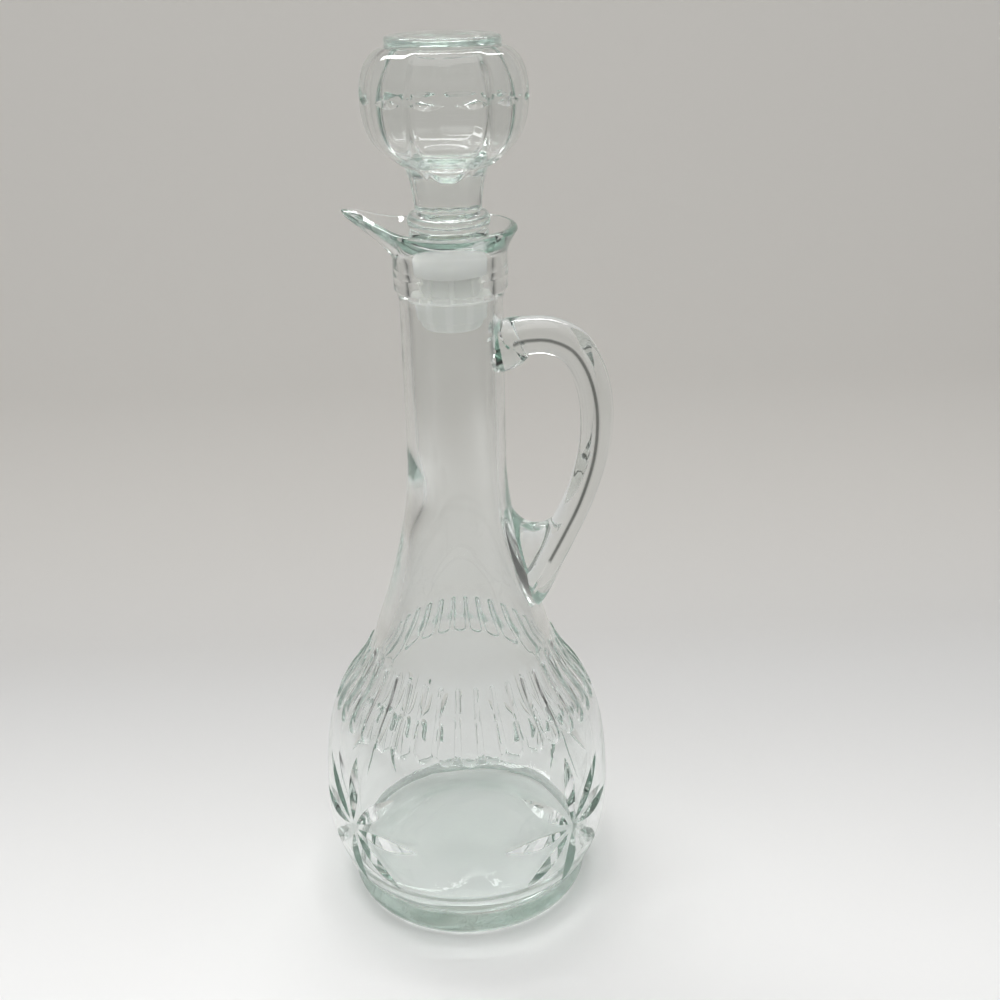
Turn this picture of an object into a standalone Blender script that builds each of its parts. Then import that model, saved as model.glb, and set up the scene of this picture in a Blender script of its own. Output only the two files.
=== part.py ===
# Glass decanter: a pressed vessel with a pouring spout, an applied handle, a faceted hollow stopper
# and the ribbed plastic sleeve that seats the stopper in the neck.
# Units are metres. The vessel's axis is Z and its base stands on z = 0. The spout points along -X,
# the handle along +X.

import math

import bmesh
import bpy
from mathutils import Matrix, Vector
from mathutils.geometry import interpolate_bezier

# Fit
CLEARANCE = 0.0003  # between solids that rest on each other or run in each other

# Foot and bowl
FOOT_RADIUS = 0.0440
FOOT_HEIGHT = 0.0110
FOOT_EDGE = 0.0022
FOOT_GROOVE = 0.0008
BEARING_WIDTH = 0.0055
PUNT_RISE = 0.0018
BOWL_RADIUS = 0.0520
BOWL_STEP = 0.0018  # how far the bowl starts outside the foot
BOWL_RISE = 0.0250  # foot to the widest height
SHOULDER_RISE = 0.0505  # widest height to where the shoulder turns into the neck
SHOULDER_RADIUS = 0.0395
BOWL_WALL = 0.0046
FLOOR_THICKNESS = 0.0105

# Neck
TAPER_RISE = 0.0795
NECK_RADIUS = 0.0165
NECK_LENGTH = 0.0550
BORE_RADIUS = 0.01325
WAIST_RADIUS = 0.0106  # the bore at the thick place on the spout's side, above the taper
WAIST_DROP = 0.0105  # below the foot of the straight neck
WAIST_SPREAD = 0.0100
WAIST_HALF_ANGLE = math.radians(125)  # how far round from the spout's side the thick place fades
THROAT_RADIUS = 0.0136
THROAT_DROP = 0.0380

# Collar, lip and spout
COLLAR_RADIUS = 0.0180
COLLAR_BEVEL = 0.0045
COLLAR_HEIGHT = 0.0100
LIP_RISE = 0.0090
RIM_RADIUS = 0.0213
RIM_ROUND = 0.0013
SPOUT_REACH = 0.0126  # beyond the rim
SPOUT_LIP = 0.0013  # extra glass at the tip
SPOUT_RISE = 0.0052  # above the rim
SPOUT_HALF_ANGLE = math.radians(64)
SPOUT_PINCH = 0.30

# Flutes round the shoulder
FLUTE_COUNT = 36
FLUTE_TOP_ABOVE = 0.0105  # above the turn of the shoulder
FLUTE_FOOT_BELOW = 0.0118  # below it
FLUTE_SHARE = 0.72  # of the pitch that a flute fills

# Stars round the bowl
STAR_HALF_GAP = math.radians(47.5)  # from the middle of the front, or of the back, to a star
STAR_HEIGHT = 0.0413
PETALS = 8
PETAL_LENGTH = 0.0277
PETAL_START = 0.0012
PETAL_WIDTH = 0.0072
PETAL_DEPTH = 0.0019
PETAL_RAISE = 0.0005

# Handle
HANDLE_THICKNESS = 0.0112
HANDLE_WIDTH = 0.0118
HANDLE_REACH = 0.0521  # from the vessel's axis to the outside of the handle
HANDLE_TOP_DROP = 0.0123  # middle of the upper arm below the top of the straight neck
HANDLE_HEIGHT = 0.0825  # between the middles of the upper arm and of the lower root
WEB_WIDTH = 0.0096  # of the glass that fills the corner between the lower arm and the neck
WEB_EDGE = 0.0028

# Stopper
SHANK_RADIUS = 0.0076
BEAD_RADIUS = 0.0129
BEAD_HEIGHT = 0.0056
UNDERBEAD_RADIUS = 0.0124
UNDERBEAD_HEIGHT = 0.0034
STEM_RADIUS = 0.0106
STEM_RISE = 0.0125
KNOB_RADIUS = 0.0256
KNOB_HEIGHT = 0.0350
BUTTON_RADIUS = 0.0172
BUTTON_HEIGHT = 0.0030
BUTTON_CROWN = 0.0013
KNOB_FACETS = 12
KNOB_TURN = math.radians(7)
KNOB_WALL = 0.0046
CHANNEL_RADIUS = 0.0034
NOTCH_LENGTH = 0.0088
NOTCH_HEIGHT = 0.0034
NOTCH_DEPTH = 0.0011

# Sleeve
SLEEVE_WALL = 0.00125
SLEEVE_TOP_ABOVE = 0.0044  # of the collar's top
FLANGE_RADIUS = 0.01155
FLANGE_HEIGHT = 0.0101
SEAL_THICKNESS = 0.0009
SEAL_DROP = 0.0058  # flange to the sealing ring
CUP_RADIUS = 0.0111
CUP_HEIGHT = 0.0064
CUP_TAPER = 0.0040
CUP_FOOT_RADIUS = 0.0085
SLEEVE_FLOOR = 0.0013
RIB_COUNT = 8
RIB_WIDTH = 0.0016
RIB_STAND = 0.0008

# Facets round the turned pieces
OUTER_STEPS = 72
INNER_STEPS = 36
SMALL_STEPS = 40

# Heights that follow from the sizes above
WIDEST_Z = FOOT_HEIGHT + BOWL_RISE
TURN_Z = WIDEST_Z + SHOULDER_RISE
NECK_FOOT_Z = TURN_Z + TAPER_RISE
NECK_TOP_Z = NECK_FOOT_Z + NECK_LENGTH
COLLAR_Z = NECK_TOP_Z + COLLAR_BEVEL
COLLAR_TOP_Z = COLLAR_Z + COLLAR_HEIGHT
RIM_Z = COLLAR_TOP_Z + LIP_RISE
SLEEVE_TOP_Z = COLLAR_TOP_Z + SLEEVE_TOP_ABOVE
FLANGE_Z = SLEEVE_TOP_Z - FLANGE_HEIGHT
SEAL_Z = FLANGE_Z - SEAL_DROP
CUP_Z = SEAL_Z - SEAL_THICKNESS - CUP_HEIGHT
SLEEVE_FOOT_Z = CUP_Z - CUP_TAPER
SLEEVE_BORE_RADIUS = SHANK_RADIUS + CLEARANCE
BEAD_FOOT_Z = SLEEVE_TOP_Z + CLEARANCE
SHANK_FOOT_Z = SLEEVE_FOOT_Z + SLEEVE_FLOOR + CLEARANCE


def clear_scene():
    for obj in list(bpy.data.objects):
        bpy.data.objects.remove(obj, do_unlink=True)


def new_collection(name):
    collection = bpy.data.collections.new(name)
    bpy.context.scene.collection.children.link(collection)
    return collection


def curve(start, first, second, end, segments):
    """Points of one cubic curve in the r, z plane, without its start."""
    corners = [Vector((r, 0.0, z)) for r, z in (start, first, second, end)]
    points = interpolate_bezier(*corners, segments + 1)
    return [(point.x, point.z) for point in points[1:]]


def mesh_object(name, mesh, collection):
    obj = bpy.data.objects.new(name, mesh)
    collection.objects.link(obj)
    return obj


def turned(name, outline, steps, collection):
    """A solid of revolution. The outline starts and ends on the axis and runs down its outer side."""
    mesh = bpy.data.meshes.new(name)
    points = [(r, 0.0, z) for r, z in outline]
    edges = [(i, i + 1) for i in range(len(points) - 1)]
    mesh.from_pydata(points, edges, [])
    obj = mesh_object(name, mesh, collection)
    screw = obj.modifiers.new("Turn", "SCREW")
    screw.axis = "Z"
    screw.steps = steps
    screw.render_steps = steps
    screw.use_merge_vertices = True
    screw.merge_threshold = 0.00001
    return bake(obj)


def bake(obj):
    """Replaces the object's data by its evaluated mesh, welded, with no modifiers left."""
    graph = bpy.context.evaluated_depsgraph_get()
    graph.update()
    mesh = bpy.data.meshes.new_from_object(obj.evaluated_get(graph), depsgraph=graph)
    weld(mesh)
    name, matrix, collection = obj.name, obj.matrix_world.copy(), obj.users_collection[0]
    bpy.data.objects.remove(obj, do_unlink=True)
    made = mesh_object(name, mesh, collection)
    made.matrix_world = matrix
    return made


def face_outwards(bm):
    bm.normal_update()
    bmesh.ops.recalc_face_normals(bm, faces=bm.faces)
    if bm.calc_volume(signed=True) < 0.0:
        bmesh.ops.reverse_faces(bm, faces=bm.faces)


def weld(mesh):
    bm = bmesh.new()
    bm.from_mesh(mesh)
    bmesh.ops.remove_doubles(bm, verts=bm.verts, dist=0.00001)
    face_outwards(bm)
    bm.to_mesh(mesh)
    bm.free()


def joined_copies(name, pieces, collection):
    """One object that holds every (mesh, matrix) pair as a separate body."""
    bm = bmesh.new()
    for mesh, matrix in pieces:
        first = len(bm.verts)
        bm.from_mesh(mesh)
        bm.verts.ensure_lookup_table()
        bmesh.ops.transform(bm, matrix=matrix, verts=bm.verts[first:])
    mesh = bpy.data.meshes.new(name)
    bm.to_mesh(mesh)
    bm.free()
    return mesh_object(name, mesh, collection)


def as_cutter(obj):
    obj.hide_render = True
    obj.display_type = "WIRE"
    return obj


def boolean(obj, other, operation):
    modifier = obj.modifiers.new(other.name, "BOOLEAN")
    modifier.object = as_cutter(other)
    modifier.operation = operation
    modifier.solver = "EXACT"


def glass_material(name, colour, roughness):
    material = bpy.data.materials.new(name)
    material.use_nodes = True
    shader = material.node_tree.nodes["Principled BSDF"]
    shader.inputs["Base Color"].default_value = (*colour, 1.0)
    shader.inputs["Roughness"].default_value = roughness
    shader.inputs["Metallic"].default_value = 0.0
    shader.inputs["IOR"].default_value = 1.52
    shader.inputs["Transmission Weight"].default_value = 1.0
    return material


def plastic_material():
    material = bpy.data.materials.new("Milky polyethylene")
    material.use_nodes = True
    shader = material.node_tree.nodes["Principled BSDF"]
    shader.inputs["Base Color"].default_value = (0.86, 0.87, 0.83, 1.0)
    shader.inputs["Roughness"].default_value = 0.38
    shader.inputs["Metallic"].default_value = 0.0
    shader.inputs["Transmission Weight"].default_value = 0.45
    return material


def finish(obj, material):
    obj.data.materials.clear()
    obj.data.materials.append(material)
    obj.data.shade_smooth()
    obj.data.set_sharp_from_angle(angle=math.radians(28))


def bowl_outline(stand):
    """The vessel's outside from the neck's top down to the bowl's start, stand outside the glass."""
    neck_foot = (NECK_RADIUS, NECK_FOOT_Z)
    turn = (SHOULDER_RADIUS, TURN_Z)
    widest = (BOWL_RADIUS, WIDEST_Z)
    start = (FOOT_RADIUS + BOWL_STEP, FOOT_HEIGHT + FOOT_GROOVE)
    slope = 0.84  # radius lost for each metre climbed where the shoulder turns
    reach_up = 0.13 * TAPER_RISE
    reach_down = 0.25 * SHOULDER_RISE
    flank = curve(
        neck_foot,
        (NECK_RADIUS + 0.0003, NECK_FOOT_Z - 0.33 * TAPER_RISE),
        (SHOULDER_RADIUS - slope * reach_up, TURN_Z + reach_up),
        turn,
        6,
    )
    shoulder = curve(
        turn,
        (SHOULDER_RADIUS + slope * reach_down, TURN_Z - reach_down),
        (BOWL_RADIUS, WIDEST_Z + 0.38 * SHOULDER_RISE),
        widest,
        6,
    )
    lower = curve(
        widest,
        (BOWL_RADIUS, WIDEST_Z - 0.46 * BOWL_RISE),
        (start[0] + 0.5 * (BOWL_RADIUS - start[0]), start[1] + 0.18 * BOWL_RISE),
        start,
        4,
    )
    points = [(NECK_RADIUS, NECK_TOP_Z), neck_foot] + flank + shoulder + lower
    return [(r + stand, z) for r, z in points]


def outer_radius(z):
    """Radius of the plain outside at height z, between the foot and the neck's top."""
    points = bowl_outline(0.0)
    for (r_up, z_up), (r_low, z_low) in zip(points, points[1:]):
        if z_low <= z <= z_up:
            return r_low + (r_up - r_low) * (z - z_low) / (z_up - z_low)
    return points[0][0] if z > points[0][1] else points[-1][0]


def lip_outline():
    """The outside from the middle of the mouth over the rim and down to the collar's foot."""
    rim_start = (RIM_RADIUS - RIM_ROUND, RIM_Z)
    rim_end = (RIM_RADIUS, RIM_Z - RIM_ROUND)
    rim = curve(rim_start, (RIM_RADIUS - 0.4 * RIM_ROUND, RIM_Z), (RIM_RADIUS, RIM_Z - 0.4 * RIM_ROUND), rim_end, 3)
    under = curve(
        rim_end,
        (RIM_RADIUS - 0.0009, RIM_Z - 0.38 * LIP_RISE),
        (COLLAR_RADIUS, COLLAR_TOP_Z + 0.35 * LIP_RISE),
        (COLLAR_RADIUS, COLLAR_TOP_Z),
        4,
    )
    return [(0.0, RIM_Z), rim_start] + rim + under + [(COLLAR_RADIUS, COLLAR_Z)]


def foot_outline():
    """The foot's side, its bearing ring and the shallow rise under the vessel."""
    groove = (FOOT_RADIUS - FOOT_GROOVE, FOOT_HEIGHT)
    top = (FOOT_RADIUS, FOOT_HEIGHT - 2 * FOOT_GROOVE)
    low = (FOOT_RADIUS, FOOT_EDGE)
    bearing = FOOT_RADIUS - FOOT_EDGE
    edge = curve(low, (FOOT_RADIUS, 0.4 * FOOT_EDGE), (bearing + 0.6 * FOOT_EDGE, 0.0), (bearing, 0.0), 3)
    inner = bearing - BEARING_WIDTH
    return [groove, top, low] + edge + [(inner, 0.0), (0.45 * inner, 0.85 * PUNT_RISE), (0.0, PUNT_RISE)]


def bore_outline():
    """The inside as a solid to cut away, from above the mouth down to the floor."""
    over = RIM_Z + 2 * LIP_RISE + SPOUT_RISE
    mouth = RIM_RADIUS - RIM_ROUND - 0.0004
    bore_top = COLLAR_TOP_Z + 0.10 * LIP_RISE
    flare = curve(
        (mouth, RIM_Z),
        (mouth - 0.0030, RIM_Z - 0.25 * LIP_RISE),
        (BORE_RADIUS + 0.0002, bore_top + 0.35 * LIP_RISE),
        (BORE_RADIUS, bore_top),
        4,
    )
    waist_z = NECK_FOOT_Z - WAIST_DROP
    spread = WAIST_SPREAD
    pinch_down = curve(
        (BORE_RADIUS, waist_z + spread),
        (BORE_RADIUS, waist_z + 0.45 * spread),
        (WAIST_RADIUS, waist_z + 0.65 * spread),
        (WAIST_RADIUS, waist_z),
        4,
    )
    throat_z = NECK_FOOT_Z - THROAT_DROP
    pinch_out = curve(
        (WAIST_RADIUS, waist_z),
        (WAIST_RADIUS, waist_z - 0.45 * spread),
        (THROAT_RADIUS, waist_z - 0.50 * spread),
        (THROAT_RADIUS, throat_z),
        4,
    )
    points = [(0.0, over), (mouth, over), (mouth, RIM_Z)] + flare
    points += [(BORE_RADIUS, waist_z + spread)] + pinch_down + pinch_out
    return points + bowl_inside(throat_z)


def bowl_inside(throat_z):
    """The bowl's inner wall, one wall inside the outside, rounded into the floor."""
    floor_z = PUNT_RISE + FLOOR_THICKNESS
    corner_z = floor_z + 0.30 * BOWL_RISE
    top_z = throat_z - 0.014
    levels = 6
    points = []
    for i in range(levels + 1):
        z = top_z + (corner_z - top_z) * i / levels
        wall = BOWL_WALL * (1.0 + 0.25 * (1.0 - i / levels))
        points.append((outer_radius(z) - wall, z))
    corner = points[-1]
    rounding = curve(
        corner,
        (corner[0] - 0.0009, floor_z + 0.10 * BOWL_RISE),
        (corner[0] - 0.0035, floor_z),
        (corner[0] - 0.0105, floor_z),
        3,
    )
    return points + rounding + [(0.0, floor_z)]


def ease_waist(obj):
    """Leaves the bore's thick place on the spout's side, and fades it to a plain bore towards the handle."""
    top_z = NECK_FOOT_Z - WAIST_DROP + WAIST_SPREAD
    throat_z = NECK_FOOT_Z - THROAT_DROP
    for vertex in obj.data.vertices:
        across = math.hypot(vertex.co.x, vertex.co.y)
        if not throat_z < vertex.co.z < top_z or across < 0.001:
            continue
        down = (top_z - vertex.co.z) / (top_z - throat_z)
        plain = BORE_RADIUS + (THROAT_RADIUS - BORE_RADIUS) * down
        turn = abs(math.atan2(vertex.co.y, -vertex.co.x))
        share = 0.5 + 0.5 * math.cos(math.pi * min(turn / WAIST_HALF_ANGLE, 1.0))
        eased = (plain + (across - plain) * share) / across
        vertex.co.x *= eased
        vertex.co.y *= eased


def pull_spout(obj, reach):
    """Draws the lip out along -X into a spout that rises and narrows towards its tip."""
    for vertex in obj.data.vertices:
        climb = (vertex.co.z - COLLAR_TOP_Z) / (RIM_Z - COLLAR_TOP_Z)
        if climb <= 0.0:
            continue
        climb = min(climb, 1.0)
        turn = abs(math.atan2(vertex.co.y, -vertex.co.x))
        if turn >= SPOUT_HALF_ANGLE or math.hypot(vertex.co.x, vertex.co.y) < 0.001:
            continue
        share = (0.5 + 0.5 * math.cos(math.pi * turn / SPOUT_HALF_ANGLE)) ** 2.4 * climb
        vertex.co.x -= reach * share
        vertex.co.z += SPOUT_RISE * share
        vertex.co.y *= 1.0 - SPOUT_PINCH * share


def flute_cutter(collection):
    """One long rounded cutter that lies along the shoulder, copied all the way round."""
    top_z = TURN_Z + FLUTE_TOP_ABOVE
    foot_z = TURN_Z - FLUTE_FOOT_BELOW
    # shares of the way down, and how thin the rod is there: both ends lift out of the glass, rounded
    stations = ((0.0, 0.74), (0.06, 0.95), (0.36, 1.0), (0.66, 1.0), (0.94, 0.97), (1.0, 0.78))
    data = bpy.data.curves.new("FluteGuide", "CURVE")
    data.dimensions = "3D"
    data.bevel_depth = 1.0
    data.bevel_resolution = 2
    data.use_fill_caps = True
    spline = data.splines.new("POLY")
    spline.points.add(len(stations) - 1)
    for point, (share, thin) in zip(spline.points, stations):
        z = top_z + (foot_z - top_z) * share
        radius = outer_radius(z)
        slope = (outer_radius(z - 0.0008) - outer_radius(z + 0.0008)) / 0.0016
        normal = Vector((1.0, 0.0, slope)).normalized()
        pitch = 2 * math.pi * radius / FLUTE_COUNT
        rod = 0.485 * pitch
        depth = rod - math.sqrt(rod**2 - (0.5 * FLUTE_SHARE * pitch) ** 2)
        centre = Vector((radius, 0.0, z)) + normal * (rod - depth)
        point.co = (*centre, 1.0)
        point.radius = rod * thin
    guide = bpy.data.objects.new("FluteGuide", data)
    collection.objects.link(guide)
    rod_mesh = bake(guide)
    turns = [2 * math.pi * (i + 0.5) / FLUTE_COUNT for i in range(FLUTE_COUNT)]
    copies = [(rod_mesh.data, Matrix.Rotation(turn, 4, "Z")) for turn in turns]
    flutes = joined_copies("FluteCutters", copies, collection)
    bpy.data.objects.remove(rod_mesh, do_unlink=True)
    return flutes


def petal_mesh(azimuth, lean):
    """A four-sided spindle laid on the bowl: its lower edge cuts a V, and its ends taper to points."""
    bm = bmesh.new()
    bmesh.ops.create_uvsphere(bm, u_segments=4, v_segments=6, radius=1.0)
    for vertex in bm.verts:
        along = PETAL_START + 0.5 * PETAL_LENGTH * (1.0 + vertex.co.z)
        taper = math.sqrt(max(0.0, 1.0 - vertex.co.z**2))
        across = 0.5 * PETAL_WIDTH * taper * vertex.co.x
        stand = PETAL_RAISE + (PETAL_DEPTH + PETAL_RAISE) * taper * vertex.co.y
        side = along * math.cos(lean) - across * math.sin(lean)
        z = STAR_HEIGHT + along * math.sin(lean) + across * math.cos(lean)
        radius = outer_radius(z)
        angle = azimuth + side / radius
        radius += stand
        vertex.co = (radius * math.cos(angle), radius * math.sin(angle), z)
    face_outwards(bm)
    mesh = bpy.data.meshes.new("Petal")
    bm.to_mesh(mesh)
    bm.free()
    return mesh


def star_cutter(collection):
    """Two stars on the front and two on the back."""
    front = -0.5 * math.pi
    azimuths = [side * front + turn for side in (1, -1) for turn in (-STAR_HALF_GAP, STAR_HALF_GAP)]
    pieces = []
    for azimuth in azimuths:
        for petal in range(PETALS):
            lean = 2 * math.pi * petal / PETALS
            pieces.append((petal_mesh(azimuth, lean), Matrix.Identity(4)))
    return joined_copies("StarCutters", pieces, collection)


def make_vessel(parts, cutters, glass):
    outline = lip_outline() + bowl_outline(0.0) + foot_outline()
    vessel = turned("glass_vessel", outline, OUTER_STEPS, parts)
    bore = turned("BoreCutter", bore_outline(), INNER_STEPS, cutters)
    ease_waist(bore)
    pull_spout(vessel, SPOUT_REACH)
    pull_spout(bore, SPOUT_REACH - SPOUT_LIP)
    boolean(vessel, bore, "DIFFERENCE")
    boolean(vessel, flute_cutter(cutters), "DIFFERENCE")
    boolean(vessel, star_cutter(cutters), "DIFFERENCE")
    finish(vessel, glass)


def handle_point(share_x, share_z):
    """The place in the x, z plane at these shares of the handle's reach and height."""
    middle = HANDLE_REACH - 0.5 * HANDLE_THICKNESS
    top_z = NECK_TOP_Z - HANDLE_TOP_DROP
    return share_x * middle, top_z - (1.0 - share_z) * HANDLE_HEIGHT


def handle_route():
    """Points (x, z, thickness share) along the handle's middle, from the upper root to the lower one."""
    shares = (
        (0.20, 0.955, 1.75),
        (0.37, 0.972, 1.50),
        (0.42, 0.990, 1.26),
        (0.52, 1.003, 1.10),
        (0.68, 1.000, 1.07),
        (0.84, 0.952, 1.05),
        (0.95, 0.840, 1.01),
        (1.00, 0.690, 0.97),
        (0.98, 0.510, 0.94),
        (0.89, 0.325, 0.90),
        (0.77, 0.170, 0.94),
        (0.645, 0.028, 1.02),
        (0.54, -0.090, 1.12),
        (0.42, -0.165, 1.30),
    )
    return [(*handle_point(x, z), thickness) for x, z, thickness in shares]


def make_web(cutters):
    """The glass between the lower arm and the neck: its upper edge is the finger gap's round bottom."""
    upper_edge = ((0.36, 0.330), (0.38, 0.292), (0.42, 0.244), (0.484, 0.207), (0.56, 0.193), (0.64, 0.200))
    arm_side = ((0.71, 0.228), (0.77, 0.275), (0.79, 0.200), (0.62, 0.000), (0.50, -0.120))
    neck_side = ((0.25, -0.140), (0.25, 0.330))
    data = bpy.data.curves.new("HandleWeb", "CURVE")
    data.dimensions = "2D"
    data.fill_mode = "BOTH"
    data.extrude = 0.5 * WEB_WIDTH
    spline = data.splines.new("POLY")
    points = upper_edge + arm_side + neck_side
    spline.points.add(len(points) - 1)
    spline.use_cyclic_u = True
    for point, (share_x, share_z) in zip(spline.points, points):
        x, z = handle_point(share_x, share_z)
        point.co = (x, z, 0.0, 1.0)
    guide = bpy.data.objects.new("HandleWeb", data)
    guide.rotation_euler = (0.5 * math.pi, 0.0, 0.0)
    cutters.objects.link(guide)
    web = bake(guide)
    rounding = web.modifiers.new("Rounding", "BEVEL")
    rounding.width = WEB_EDGE
    rounding.segments = 2
    rounding.limit_method = "ANGLE"
    rounding.angle_limit = math.radians(60)
    return web


def make_handle(parts, cutters, glass):
    """A bent glass rod, thicker at both roots and joined to the neck by a web, cut to the neck's outside."""
    data = bpy.data.curves.new("HandleGuide", "CURVE")
    data.dimensions = "3D"
    data.bevel_depth = 0.5 * HANDLE_THICKNESS
    data.bevel_resolution = 6
    data.resolution_u = 3
    data.use_fill_caps = True
    spline = data.splines.new("BEZIER")
    route = handle_route()
    spline.bezier_points.add(len(route) - 1)
    for point, (x, z, thickness) in zip(spline.bezier_points, route):
        point.co = (x, 0.0, z)
        point.handle_left_type = "AUTO"
        point.handle_right_type = "AUTO"
        point.radius = thickness
    guide = bpy.data.objects.new("glass_handle", data)
    parts.objects.link(guide)
    handle = bake(guide)
    handle.data.transform(Matrix.Scale(HANDLE_WIDTH / HANDLE_THICKNESS, 4, (0.0, 1.0, 0.0)))
    boolean(handle, make_web(cutters), "UNION")
    seat = [(0.0, COLLAR_Z)] + [(NECK_RADIUS + CLEARANCE, COLLAR_Z)]
    seat += bowl_outline(CLEARANCE) + [(0.0, FOOT_HEIGHT)]
    boolean(handle, turned("NeckCutter", seat, OUTER_STEPS, cutters), "DIFFERENCE")
    finish(handle, glass)


def knob_outline():
    """The faceted knob and its waisted stem, from the button's seat down to the bead."""
    stem_foot = BEAD_FOOT_Z + UNDERBEAD_HEIGHT + BEAD_HEIGHT
    knob_foot = stem_foot + STEM_RISE
    top = knob_foot + KNOB_HEIGHT
    widest = knob_foot + 0.60 * KNOB_HEIGHT
    crown = curve(
        (BUTTON_RADIUS + 0.0006, top),
        (BUTTON_RADIUS + 0.0055, top - 0.0006),
        (KNOB_RADIUS, widest + 0.22 * KNOB_HEIGHT),
        (KNOB_RADIUS, widest),
        6,
    )
    belly = curve(
        (KNOB_RADIUS, widest),
        (KNOB_RADIUS, widest - 0.32 * KNOB_HEIGHT),
        (KNOB_RADIUS - 0.0042, knob_foot + 0.15 * KNOB_HEIGHT),
        (STEM_RADIUS + 0.0030, knob_foot + 0.07 * STEM_RISE),
        6,
    )
    stem = curve(
        (STEM_RADIUS + 0.0030, knob_foot + 0.07 * STEM_RISE),
        (STEM_RADIUS + 0.0012, knob_foot - 0.03 * STEM_RISE),
        (STEM_RADIUS + 0.0004, stem_foot + 0.50 * STEM_RISE),
        (STEM_RADIUS - 0.0002, stem_foot),
        5,
    )
    sunk = (0.8 * STEM_RADIUS, stem_foot - 0.5 * BEAD_HEIGHT)
    return [(0.0, top), (BUTTON_RADIUS + 0.0006, top)] + crown + belly + stem + [sunk, (0.0, sunk[1])]


def button_outline():
    seat = BEAD_FOOT_Z + UNDERBEAD_HEIGHT + BEAD_HEIGHT + STEM_RISE + KNOB_HEIGHT
    top = seat + BUTTON_HEIGHT
    crown = [
        (BUTTON_RADIUS * share, top + BUTTON_CROWN * (1.0 - share**2)) for share in (0.0, 0.25, 0.5, 0.75, 0.93)
    ]
    edge = [(BUTTON_RADIUS, top - 0.0006), (BUTTON_RADIUS, seat - 0.0004)]
    return crown + edge + [(0.6 * BUTTON_RADIUS, seat - 0.0012), (0.0, seat - 0.0012)]


def bead_outline():
    """Two round beads over the straight shank that the sleeve holds."""
    foot = BEAD_FOOT_Z
    middle = foot + UNDERBEAD_HEIGHT
    top = middle + BEAD_HEIGHT
    bead = curve(
        (STEM_RADIUS - 0.0006, top + 0.0001),
        (BEAD_RADIUS + 0.0009, top - 0.1 * BEAD_HEIGHT),
        (BEAD_RADIUS + 0.0006, middle + 0.1 * BEAD_HEIGHT),
        (UNDERBEAD_RADIUS - 0.0012, middle),
        5,
    )
    under = curve(
        (UNDERBEAD_RADIUS - 0.0012, middle),
        (UNDERBEAD_RADIUS + 0.0004, middle - 0.1 * UNDERBEAD_HEIGHT),
        (UNDERBEAD_RADIUS + 0.0004, foot + 0.1 * UNDERBEAD_HEIGHT),
        (UNDERBEAD_RADIUS - 0.0008, foot),
        4,
    )
    shank = [(SHANK_RADIUS, foot), (SHANK_RADIUS, SHANK_FOOT_Z + 0.0008), (SHANK_RADIUS - 0.0008, SHANK_FOOT_Z)]
    return [(0.0, top + 0.0001), (STEM_RADIUS - 0.0006, top + 0.0001)] + bead + under + shank + [(0.0, SHANK_FOOT_Z)]


def hollow_outline():
    """The knob's hollow and the narrow channel that vents it through the shank."""
    knob_foot = BEAD_FOOT_Z + UNDERBEAD_HEIGHT + BEAD_HEIGHT + STEM_RISE
    top = knob_foot + KNOB_HEIGHT + BUTTON_HEIGHT - KNOB_WALL
    radius = KNOB_RADIUS * math.cos(math.pi / KNOB_FACETS) - KNOB_WALL
    widest = knob_foot + 0.60 * KNOB_HEIGHT
    upper = curve((0.74 * radius, top), (0.95 * radius, top), (radius, widest + 0.20 * KNOB_HEIGHT), (radius, widest), 5)
    lower = curve(
        (radius, widest),
        (radius, widest - 0.30 * KNOB_HEIGHT),
        (0.60 * radius, knob_foot + 0.14 * KNOB_HEIGHT),
        (CHANNEL_RADIUS, knob_foot - 0.05 * KNOB_HEIGHT),
        6,
    )
    below = SHANK_FOOT_Z - 0.002
    return [(0.0, top), (0.74 * radius, top)] + upper + lower + [(CHANNEL_RADIUS, below), (0.0, below)]


def notch_cutter(collection):
    """Short lens-shaped cuts across the middle of every facet."""
    widest = BEAD_FOOT_Z + UNDERBEAD_HEIGHT + BEAD_HEIGHT + STEM_RISE + 0.60 * KNOB_HEIGHT
    face = KNOB_RADIUS * math.cos(math.pi / KNOB_FACETS)
    bm = bmesh.new()
    bmesh.ops.create_uvsphere(bm, u_segments=4, v_segments=6, radius=1.0)
    for vertex in bm.verts:
        stand = 0.0004 + (NOTCH_DEPTH + 0.0004) * vertex.co.x
        vertex.co = (face + stand, 0.5 * NOTCH_LENGTH * vertex.co.z, widest + 0.5 * NOTCH_HEIGHT * vertex.co.y)
    face_outwards(bm)
    mesh = bpy.data.meshes.new("Notch")
    bm.to_mesh(mesh)
    bm.free()
    turns = [KNOB_TURN + 2 * math.pi * (i + 0.5) / KNOB_FACETS for i in range(KNOB_FACETS)]
    return joined_copies("NotchCutters", [(mesh, Matrix.Rotation(turn, 4, "Z")) for turn in turns], collection)


def make_stopper(parts, cutters, glass):
    stopper = turned("glass_stopper", knob_outline(), KNOB_FACETS, parts)
    stopper.data.transform(Matrix.Rotation(KNOB_TURN, 4, "Z"))
    boolean(stopper, turned("ButtonSolid", button_outline(), INNER_STEPS, cutters), "UNION")
    boolean(stopper, turned("BeadSolid", bead_outline(), SMALL_STEPS, cutters), "UNION")
    boolean(stopper, turned("HollowCutter", hollow_outline(), 24, cutters), "DIFFERENCE")
    boolean(stopper, notch_cutter(cutters), "DIFFERENCE")
    finish(stopper, glass)


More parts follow.
